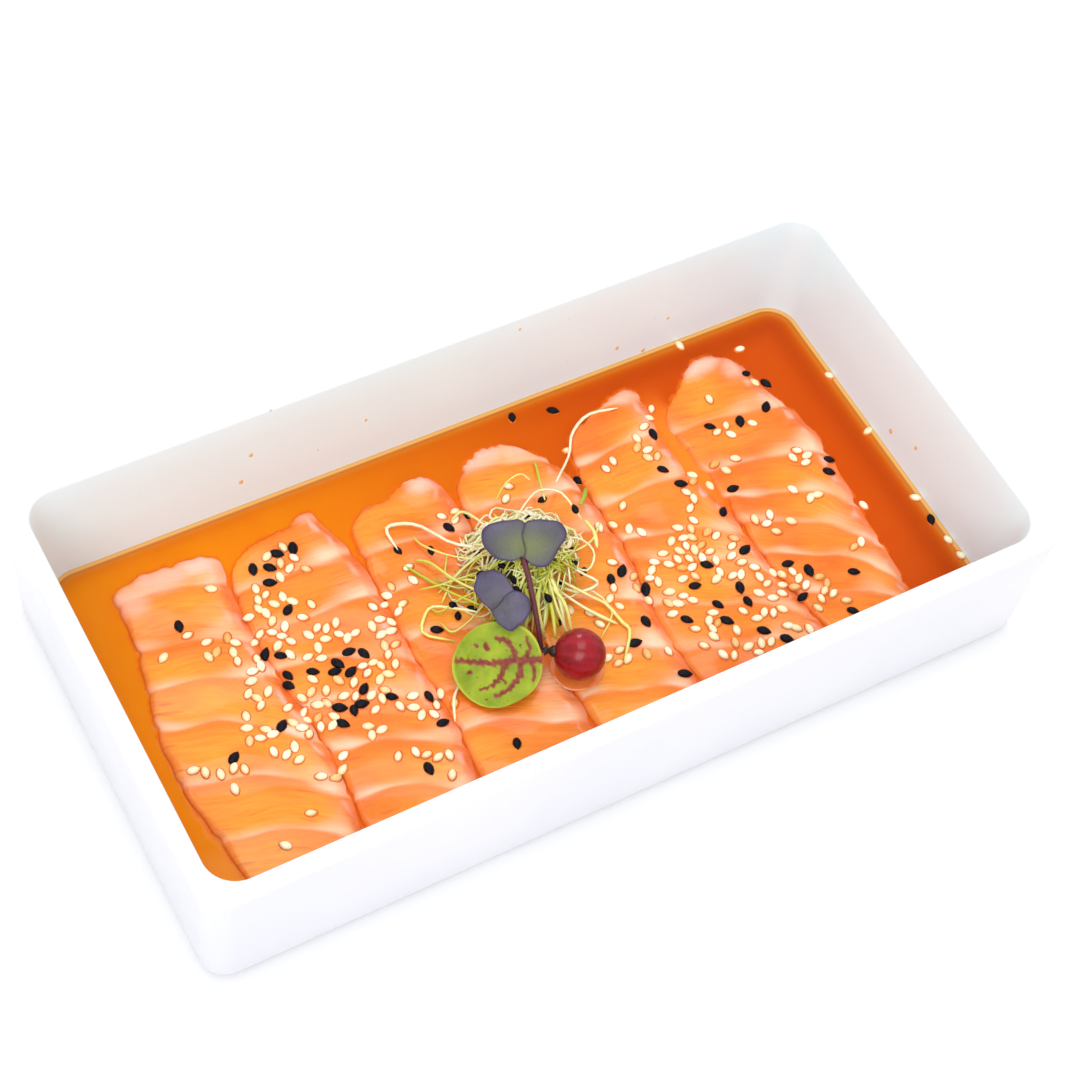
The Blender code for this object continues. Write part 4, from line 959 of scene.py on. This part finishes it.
# Chords are bent stems that lie across the heap
run = np.linspace(-1, 1, 5)
middle = HEAP_RADIUS * np.sqrt(pick(0, 0.9, CHORD_COUNT))
chord_turn = pick(0, 2 * math.pi, CHORD_COUNT)
way = pick(0, 2 * math.pi, CHORD_COUNT)
half = pick(2.6, 7.0, CHORD_COUNT) * MM
bend = pick(-5.2, 5.2, CHORD_COUNT) * MM * (1 - run ** 2)
wobble = draw.normal(0, 0.7, (2, CHORD_COUNT, 5)) * MM
chords = on_heap(turned(middle, 0, chord_turn) + turned(half * run, bend, way) + wobble,
                 (pick(-2.2, 1.0, CHORD_COUNT) + pick(-0.7, 0.9, CHORD_COUNT, 5)) * MM)
# Spikes are stems that point out of the heap and rise a little
out = np.array([0.0, 0.33, 0.66, 1.0])
start = pick(0.15, 0.7, SPIKE_COUNT)
end = pick(0.95, 1.5, SPIKE_COUNT)
around = (pick(-3.5, 0.2, SPIKE_COUNT) + draw.normal(0, 0.4, (SPIKE_COUNT, 1)) * out
          + draw.normal(0, 0.07, (SPIKE_COUNT, 4)))
spike_turn = around[:, :1]
end = end - 0.25 * (np.cos(spike_turn - HOLLOW_TURN) > 0.4)
sideways = draw.normal(0, 1.5, (SPIKE_COUNT, 1)) * np.sin(math.pi * out) * MM
spikes = on_heap(turned(HEAP_RADIUS * (start + (end - start) * out), sideways, around),
                 (pick(-0.4, 1.0, SPIKE_COUNT, 4) + pick(0, 3.5, SPIKE_COUNT) * out ** 2) * MM)
# The bundle is thick stems from the heap's top down to its front, in millimetres
spread = pick(-1, 1, BUNDLE_COUNT)
bundle_x = 0.2 + spread * 2.4 + (spread * 2.6 - 2.4) * out + draw.normal(0, 0.8, (BUNDLE_COUNT, 4))
bundle_y = 1.5 - 15.5 * out * pick(0.62, 1.08, BUNDLE_COUNT)
bundle_z = 19.0 - 9.4 * out ** 1.4 + pick(-0.6, 0.8, BUNDLE_COUNT, 4)
bundle = np.stack([bundle_x, bundle_y, bundle_z], axis=-1) * MM
# Roots are pale loops at the back of the heap
turn = np.linspace(0, 1, 7) * pick(2.5, 5.0, ROOT_COUNT) + pick(0, 2 * math.pi, ROOT_COUNT)
around = pick(-0.1, 2.3, ROOT_COUNT)
middle = HEAP_RADIUS * pick(0.5, 0.98, ROOT_COUNT)
loop = pick(1.8, 4.6, ROOT_COUNT) * MM * np.linspace(1.0, 0.7, 7)
roots = on_heap(turned(middle, 0, around) + turned(loop, 0, turn),
                pick(-0.4, 2.4, ROOT_COUNT, 7) * MM)
# Each group: its curves, least and most radius, and its green: base, spread and gain
groups = ((chords, (0.14, 0.27), 0.02 - 0.32 * np.sin(chord_turn), (-0.35, 0.45), 0.4),
          (spikes, (0.15, 0.26), 0.35 - 0.4 * np.sin(spike_turn), (-0.25, 0.35), 0.3),
          (bundle, (0.22, 0.42), 0.0, (0.4, 1.0), -0.25),
          (roots, (0.19, 0.34), 0.0, (-0.1, 0.35), 0.0))
strays = [along_curve(np.array([[above(table_top, u, v, lift * MM) for u, v, lift in route]]),
                      STEM_STEPS) for route, *_ in STRAYS]
routes = np.concatenate([*(along_curve(group[0], STEM_STEPS) for group in groups), *strays])
share = np.linspace(0, 1, STEM_STEPS)
stray_root, stray_tip, stray_radius = np.array([row[1:] for row in STRAYS]).T[:, :, None]
radii = np.concatenate([*(pick(*widths, len(group)) for group, widths, *_ in groups), stray_radius])
radii = MM * radii * (0.35 + 0.65 * rounded((1 - np.abs(2 * share - 1)) * 4)) * (
    1 - 0.15 * np.sin(7 * share))
green = kept_in(np.concatenate([
    *(base + pick(*span, len(group)) + gain * share for group, _, base, span, gain in groups),
    stray_root + (stray_tip - stray_root) * share]))
# The core is a lumpy dome that fills the heap; its dark colour is painted shade between the stems
core, core_faces = ball(14, 22)
core = core[:, [1, 2, 0]]
core_turn = np.arctan2(core[:, 1], core[:, 0])
core_lump = 1 + 0.10 * np.sin(3 * core_turn + 1) + 0.07 * np.sin(7 * core_turn)
core[:, :2] = HEAP_CENTRE + core[:, :2] * HEAP_RADIUS * CORE_SHARE * core_lump[:, None]
core[:, 2] = HEAP_GROUND + (0.5 + 0.5 * core[:, 2]) * HEAP_HEIGHT * CORE_TOP
sprout_paint = Paint("sprout_stems", 0.4, Subsurface_Weight=0.2, Subsurface_Scale=0.001,
                     Coat_Weight=0.25, Coat_Roughness=0.2)
sprout_paint.colour = ramp(sprout_paint, "green", (0.0, (248, 240, 214)), (0.45, (234, 228, 132)),
                           (0.72, (200, 202, 44)), (1.0, (142, 160, 14)))
# The core's near-black olive is painted shade.
sprout_paint.lay(("dark", (34, 30, 6)), (0.002, (188, 184, 80), 0.3))
sprout_heap = make_piece("sprout_heap", sprout_paint.finish(), "sprouts", ("sprouts",),
                         (*tubes(routes, radii, STEM_SIDES), {"green": np.repeat(green, STEM_SIDES)}),
                         (core, core_faces, {"green": 1.0, "dark": 1.0}))

heap_tree = tree_of(sprout_heap, *fish_pieces)
coats = [lay_seed(heap_tree, u, v, turn) for (u, v), turn in zip(
    SEED_COATS, draw.uniform(0, 2 * math.pi, len(SEED_COATS)))]
make_piece("sprout_seed_coats", black_material, "sesame_black", (), (
    *copies((seed_points, seed_faces), coats, COAT_SIZE), {"tone": 0.8, "tip": 0.0}))

# Sorrel: one round leaf of red-veined sorrel, yellow-green with maroon veins, laid against the
# front of the heap. It is thin, a little dished, and wavy at its rim.
LEAF_THICKNESS = 0.6 * MM
LEAF_RINGS = 46
LEAF_SPOKES = 176
SORREL_RADIUS = 8.8 * MM
SORREL_WAVE = 0.5 * MM
VEIN_DEPTH = 0.10 * MM
SORREL_PLACE = (-15.9 * MM, -15.2 * MM)
# Tilt, heading and turn of the leaf, in degrees
SORREL_POSE = (20, 230, 0)
# The photograph's upright axis in the leaf's plane, and its scale there
PHOTO_TURN = math.radians(-28.8)
PHOTO_STEP = 1 / 4.75 * MM
# Veins, from the leaf's middle in the photograph's pixels (right, up), and half their width
VEINS = (
    (((45, 6), (18, 5), (-5, 1), (-38, 2)), 2.9), (((17, 6), (13, 17), (6, 24), (-2, 25)), 2.3),
    (((27, 8), (30, 16), (26, 26)), 1.7), (((8, 1), (3, -11), (-4, -20)), 2.3),
    (((22, 3), (21, -11), (12, -23), (0, -30)), 2.5), (((31, 4), (35, -3), (34, -14)), 1.6),
    (((-10, 15), (-12, 19)), 2.2), (((-8, -22), (-15, -24)), 1.4), (((-20, 17), (-22, 18)), 1.2),
    (((-25, -8), (-28, -10)), 1.2), (((4, -13), (8, -18)), 1.0),
)


def leaf_sheet(outline, wave):
    """Thin closed plate: rings shrink the outline to its middle, above and below.

    Returns the points, the faces, and the flat place and ring share of each point.
    """
    spokes = len(outline)
    ring = np.linspace(0, 1, LEAF_RINGS + 1)[1:]
    flat = np.concatenate([[(0.0, 0.0)], (outline[None] * ring[:, None, None]).reshape(-1, 2)])
    share = np.concatenate([[0.0], np.repeat(ring, spokes)])
    height = wave(flat[:, 0], flat[:, 1])
    upper = np.column_stack([flat, height])
    lower = np.column_stack([flat, height - LEAF_THICKNESS * np.sqrt(1 - 0.96 * share ** 6)])
    below = len(upper)
    first = 1 + np.arange(spokes)
    quads = quads_of(LEAF_RINGS, spokes, wrap=True) + 1
    here = first + (LEAF_RINGS - 1) * spokes
    after = np.roll(here, -1)
    faces = [*quads[:, ::-1].tolist(), *(quads + below).tolist(), *fan(0, first[::-1]),
             *fan(below, first + below),
             *np.stack([here, here + below, after + below, after], axis=-1).tolist()]
    return np.concatenate([upper, lower]), faces, np.tile(flat, (2, 1)), np.tile(share, 2)


def posed(points, place, pose, top):
    """Points turned, tipped towards a heading and moved, with the highest at a given height."""
    tilt, heading, turn = np.radians(pose)
    tip = Quaternion((-math.sin(heading), math.cos(heading), 0.0), tilt)
    spin = np.array((tip @ Quaternion((0.0, 0.0, 1.0), turn)).to_matrix())
    points = points @ spin.T + np.array([*place, 0.0])
    return points + np.array([0, 0, top - points[:, 2].max()])


def near_route(flat, route):
    """Distance of each point from a line of straight runs, and how far along it lies, 0 to 1."""
    best = np.full(len(flat), 1.0)
    run = np.zeros(len(flat))
    for index, (start, end) in enumerate(zip(route[:-1], route[1:])):
        way = end - start
        share = np.clip((flat - start) @ way / (way @ way), 0, 1)
        distance = np.linalg.norm(flat - start - share[:, None] * way, axis=1)
        run = np.where(distance < best, (index + share) / (len(route) - 1), run)
        best = np.minimum(best, distance)
    return best, run


turn = 2 * math.pi * np.arange(LEAF_SPOKES) / LEAF_SPOKES
radius = SORREL_RADIUS * (1 + 0.025 * np.cos(2 * turn) + 0.012 * np.sin(5 * turn))


def sorrel_wave(x, y):
    """Height over the flat leaf: a wave of three swells that grows towards its rim."""
    reach = np.hypot(x, y) / SORREL_RADIUS
    return SORREL_WAVE * reach ** 2 * (1 + np.sin(3 * np.arctan2(y, x))) + 0.06 * MM * ripple(
        x, y, 4 * MM, 5)


points, faces, flat, _ = leaf_sheet(turned(radius, 0, turn).T, sorrel_wave)
flat_x, flat_y = flat.T
vein = np.zeros(len(flat))
ragged = 0.09 * MM * np.column_stack([ripple(flat_x, flat_y, 1.3 * MM, seed) for seed in (7, 8)])
for route, half_width in VEINS:
    route = turned(*np.array(route).T, PHOTO_TURN).T * PHOTO_STEP
    distance, run = near_route(flat + ragged, route)
    width = half_width * PHOTO_STEP * (1.15 - 0.35 * run) * (
        1 + 0.28 * ripple(flat_x, flat_y, 1.4 * MM, 3))
    vein = np.maximum(vein, smooth_step(1.6 - distance / width))
points[:, 2] -= VEIN_DEPTH * vein
points = posed(points, SORREL_PLACE, SORREL_POSE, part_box("sorrel_leaf")[1].z)
sorrel_rim = smooth_step((np.linalg.norm(flat, axis=1) / SORREL_RADIUS - 0.95) * 20) * 0.45
sorrel_paint = Paint("sorrel_leaf", 0.42, Subsurface_Weight=0.15, Subsurface_Scale=0.001,
                     Specular_IOR_Level=0.3)
sorrel_paint.base(0.004, (118, 138, 6), (152, 168, 16)).lay(
    ((0.0011, 1.0, (0.70, 0.76)), (92, 84, 20)), ("rim", (204, 212, 70)),
    ("vein", sorrel_paint.mix(0.0009, (104, 18, 26), (146, 62, 36))))
make_piece("sorrel", sorrel_paint.finish(0.0008, 0.00006), "sorrel", ("sorrel_leaf",),
           (points, faces, {"vein": vein, "rim": sorrel_rim}))

# Cress: two seed leaves of purple cress, each with two round lobes and a notch between them.
# The large one stands on a maroon stem in front of the heap and the small one lies under it.
CRESS_FOLD = 0.9 * MM
CRESS_WAVE = 0.35 * MM
# Outline of each as seen in the photograph: turn in degrees and reach in millimetres; and how
# much the slope of the leaves shortens them there
LOBES = {
    "cress_large": ((-99, 2.8), (-77, 3.6), (-60, 5.4), (-48, 6.4), (-19, 6.8), (2, 7.9),
                    (16, 8.7), (29, 8.3), (43, 6.6), (76, 4.6), (88, 4.0), (100, 4.6),
                    (134, 5.7), (157, 7.9), (170, 8.6), (187, 8.3), (211, 6.7), (230, 5.1),
                    (261, 2.8)),
    "cress_small": ((-112, 3.4), (-92, 4.8), (-76, 6.0), (-48, 6.2), (-25, 6.1), (-3, 5.7),
                    (17, 4.6), (39, 3.3), (62, 3.7), (84, 4.9), (108, 6.1), (132, 6.6),
                    (155, 6.2), (180, 4.3), (214, 2.8), (248, 3.4)),
}
LOBES_SHORTENED = 0.94
# Place, half width and half height, tilt, heading and turn in degrees, and how green
CRESS_LEAVES = {
    "cress_large": ((-1.4 * MM, 2.6 * MM), (8.5 * MM, 5.1 * MM), (12, 232, -27), 1.0),
    "cress_small": ((-10.2 * MM, -5.2 * MM), (6.4 * MM, 4.1 * MM), (18, 225, -78), 0.25),
}
STEM_CONTROLS = np.array([(-2.6, 0.6, 21.0), (-3.6, -4.0, 20.2), (-4.8, -10.5, 15.5),
                          (-5.4, -14.6, 10.3)]) * MM
CRESS_STEM_RADIUS = 0.62 * MM
CRESS_STEM_STEPS = 26

cress_paint = Paint("cress_leaf", 0.45, Specular_IOR_Level=0.35, Subsurface_Weight=0.1,
                    Subsurface_Scale=0.001)
cress_paint.base(0.005, (60, 50, 80), (90, 82, 108)).lay(
    ("green", (106, 114, 72)), ("rim", (58, 42, 76)), ("vein", (54, 38, 60)),
    ("stem", (96, 44, 52)))
cress_material = cress_paint.finish(0.0006, 0.00008)
cress_radii = CRESS_STEM_RADIUS * (1 - 0.2 * np.linspace(0, 1, CRESS_STEM_STEPS))[None]
cress_stem = tubes(along_curve(STEM_CONTROLS[None], CRESS_STEM_STEPS), cress_radii, 12)

for name, (place, (half_width, half_height), pose, greenness) in CRESS_LEAVES.items():
    at, reach = np.array(LOBES[name]).T
    radius = through(at, reach, (np.degrees(turn) - at[0]) % 360 + at[0]) * MM
    radius = radius * (1 + 0.012 * np.sin(9 * turn) + 0.01 * np.sin(14 * turn))
    outline = turned(radius * np.cos(turn), radius * np.sin(turn) / LOBES_SHORTENED,
                     PHOTO_TURN - math.radians(pose[2])).T

    def cress_wave(x, y):
        """Height over the flat leaf: folded up to both sides, with a crease between."""
        fold = CRESS_FOLD * (np.abs(x) / half_width) ** 1.5
        crease = 0.35 * MM * np.exp(-np.abs(x) / (0.6 * MM))
        return fold - crease + CRESS_WAVE * np.sin(2.2 * x / half_width + 1.0) * (
            y / half_height) + 0.08 * MM * ripple(x, y, 6 * MM, 8)

    points, faces, flat, share = leaf_sheet(outline, cress_wave)
    middle = np.array([0.05 * half_width, -0.15 * half_height])
    offset = (flat - middle) / np.array([0.72 * half_width, 0.75 * half_height])
    off_vein = flat[:, 0] + 0.3 * MM * np.sin(flat[:, 1] / MM)
    values = {"green": greenness * np.exp(-(offset ** 2).sum(axis=1)),
              "vein": 0.8 * np.exp(-(off_vein / (0.2 * MM)) ** 2), "stem": 0.0,
              "rim": smooth_step((share - 0.86) * 7)}
    bodies = [(posed(points, place, pose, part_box(name)[1].z), faces, values)]
    if name == "cress_large":
        bodies.append((*cress_stem, {"stem": 1.0}))
    make_piece(name + "_leaf", cress_material, "cress", (name,), *bodies)

# Berry: one ripe red currant, taut, glossy and a little see-through, with the dried end of its
# flower at its left side. It rests on the fish in front of the heap.
BERRY_RADIUS = 5.25 * MM
berry_low, berry_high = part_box("berry")
BERRY_CENTRE = np.array([berry_high.x - BERRY_RADIUS, (berry_low.y + berry_high.y) / 2,
                         (berry_low.z + berry_high.z) / 2])
CALYX_TURN = math.radians(151)
CALYX_RADIUS = 1.15 * MM
SEPAL_COUNT = 9
SEPAL_RADII = (0.32, 0.4, 0.34, 0.26, 0.1)
DRY_REACH = 0.28
STREAK_COUNT = 11
PUDDLE_REACH = 5.7 * MM
PUDDLE_HEIGHT = 0.45 * MM

berry, berry_faces = ball(40, 56)
off_centre = berry[:, [1, 2, 0]] * BERRY_RADIUS
toward = unit(np.array([math.cos(CALYX_TURN), math.sin(CALYX_TURN), 0.12]))
reach = BERRY_RADIUS + np.array([-0.6, 0.1, 0.5, 1.0]) * MM
calyx = tubes((BERRY_CENTRE + toward * reach[:, None])[None],
              CALYX_RADIUS * np.array([[0.8, 1.1, 0.95, 0.55]]), 10)
sepal_way = unit(toward + 0.75 * draw.normal(0, 1, (SEPAL_COUNT, 3)))
sepal_run = np.linspace(-0.2, 1.5, len(SEPAL_RADII))[None, :, None] * MM
sepals = BERRY_CENTRE + toward * reach[-1] + sepal_way[:, None] * sepal_run
sepals = sepals + draw.normal(0, 0.12, sepals.shape) * MM
sepals = tubes(sepals, np.tile(np.array(SEPAL_RADII) * MM, (SEPAL_COUNT, 1)), 6)
from_calyx = np.arccos(np.clip(off_centre @ toward / BERRY_RADIUS, -1, 1))
seen_turn = np.arctan2(off_centre @ np.cross(toward, (0, 0, 1)), off_centre[:, 2])
values = {"dry": np.exp(-(from_calyx / DRY_REACH) ** 2),
          "streak": 0.5 * (0.5 + 0.5 * np.cos(STREAK_COUNT * seen_turn)) ** 3}
berry_paint = Paint("berry_skin", 0.24, Subsurface_Weight=0.15, Subsurface_Scale=0.002,
                    Specular_IOR_Level=0.3, Coat_Weight=0.12, Coat_Roughness=0.12,
                    Subsurface_Radius=(1.0, 0.1, 0.1))
berry_paint.base(0.004, (120, 3, 16), (156, 8, 28)).lay(
    ("streak", (160, 30, 44)), ("dry", (44, 24, 16)))
make_piece("berry_ripe", berry_paint.finish(0.0015, 0.00003), "berry", ("berry",),
           (BERRY_CENTRE + off_centre, berry_faces, values), (*calyx, {"dry": 1.0}),
           (*sepals, {"dry": 1.0}))

bead, bead_faces = ball(10, 40)
bead = bead * np.array([PUDDLE_REACH, PUDDLE_REACH * 0.94, PUDDLE_HEIGHT])
bead_paint = Paint("sauce_bead", 0.05, Specular_IOR_Level=0.5, Coat_Weight=0.5, Coat_Roughness=0.04)
bead_paint.base(0.003, (232, 112, 44), (240, 136, 70))
make_piece("sauce_round_berry", bead_paint.finish(), "sauce", (),
           (bead + np.array([*BERRY_CENTRE[:2], berry_low.z]), bead_faces, {}))

# Splashes: small drops of sauce dried on the inner walls, each at its place in the photograph,
# with its size in millimetres. They cling flat to the wall.
SPLASHES = (
    (241, 482, 0.9), (251, 455, 0.8), (366, 420, 0.6), (520, 329, 0.6), (617, 348, 0.8),
    (643, 350, 0.9), (668, 318, 0.6), (891, 431, 1.0), (916, 448, 0.8),
)
drop_places = []
for u, v, _ in SPLASHES:
    place, outward = seen_at(table_top, u, v)
    drop_places.append((place, axes_from(outward, np.array([0.0, 0.0, -1.0]))))
drop_sizes = np.array([(0.75 * size, 0.55 * size, 0.16) for _, _, size in SPLASHES]) * MM
drop_paint = Paint("dried_sauce", 0.2, Coat_Weight=0.5, Coat_Roughness=0.1)
drop_paint.base(0.001, (222, 172, 100), (240, 204, 150))
make_piece("sauce_splashes", drop_paint.finish(), "sauce", (),
           (*copies(ring_shape, drop_places, drop_sizes), {}))
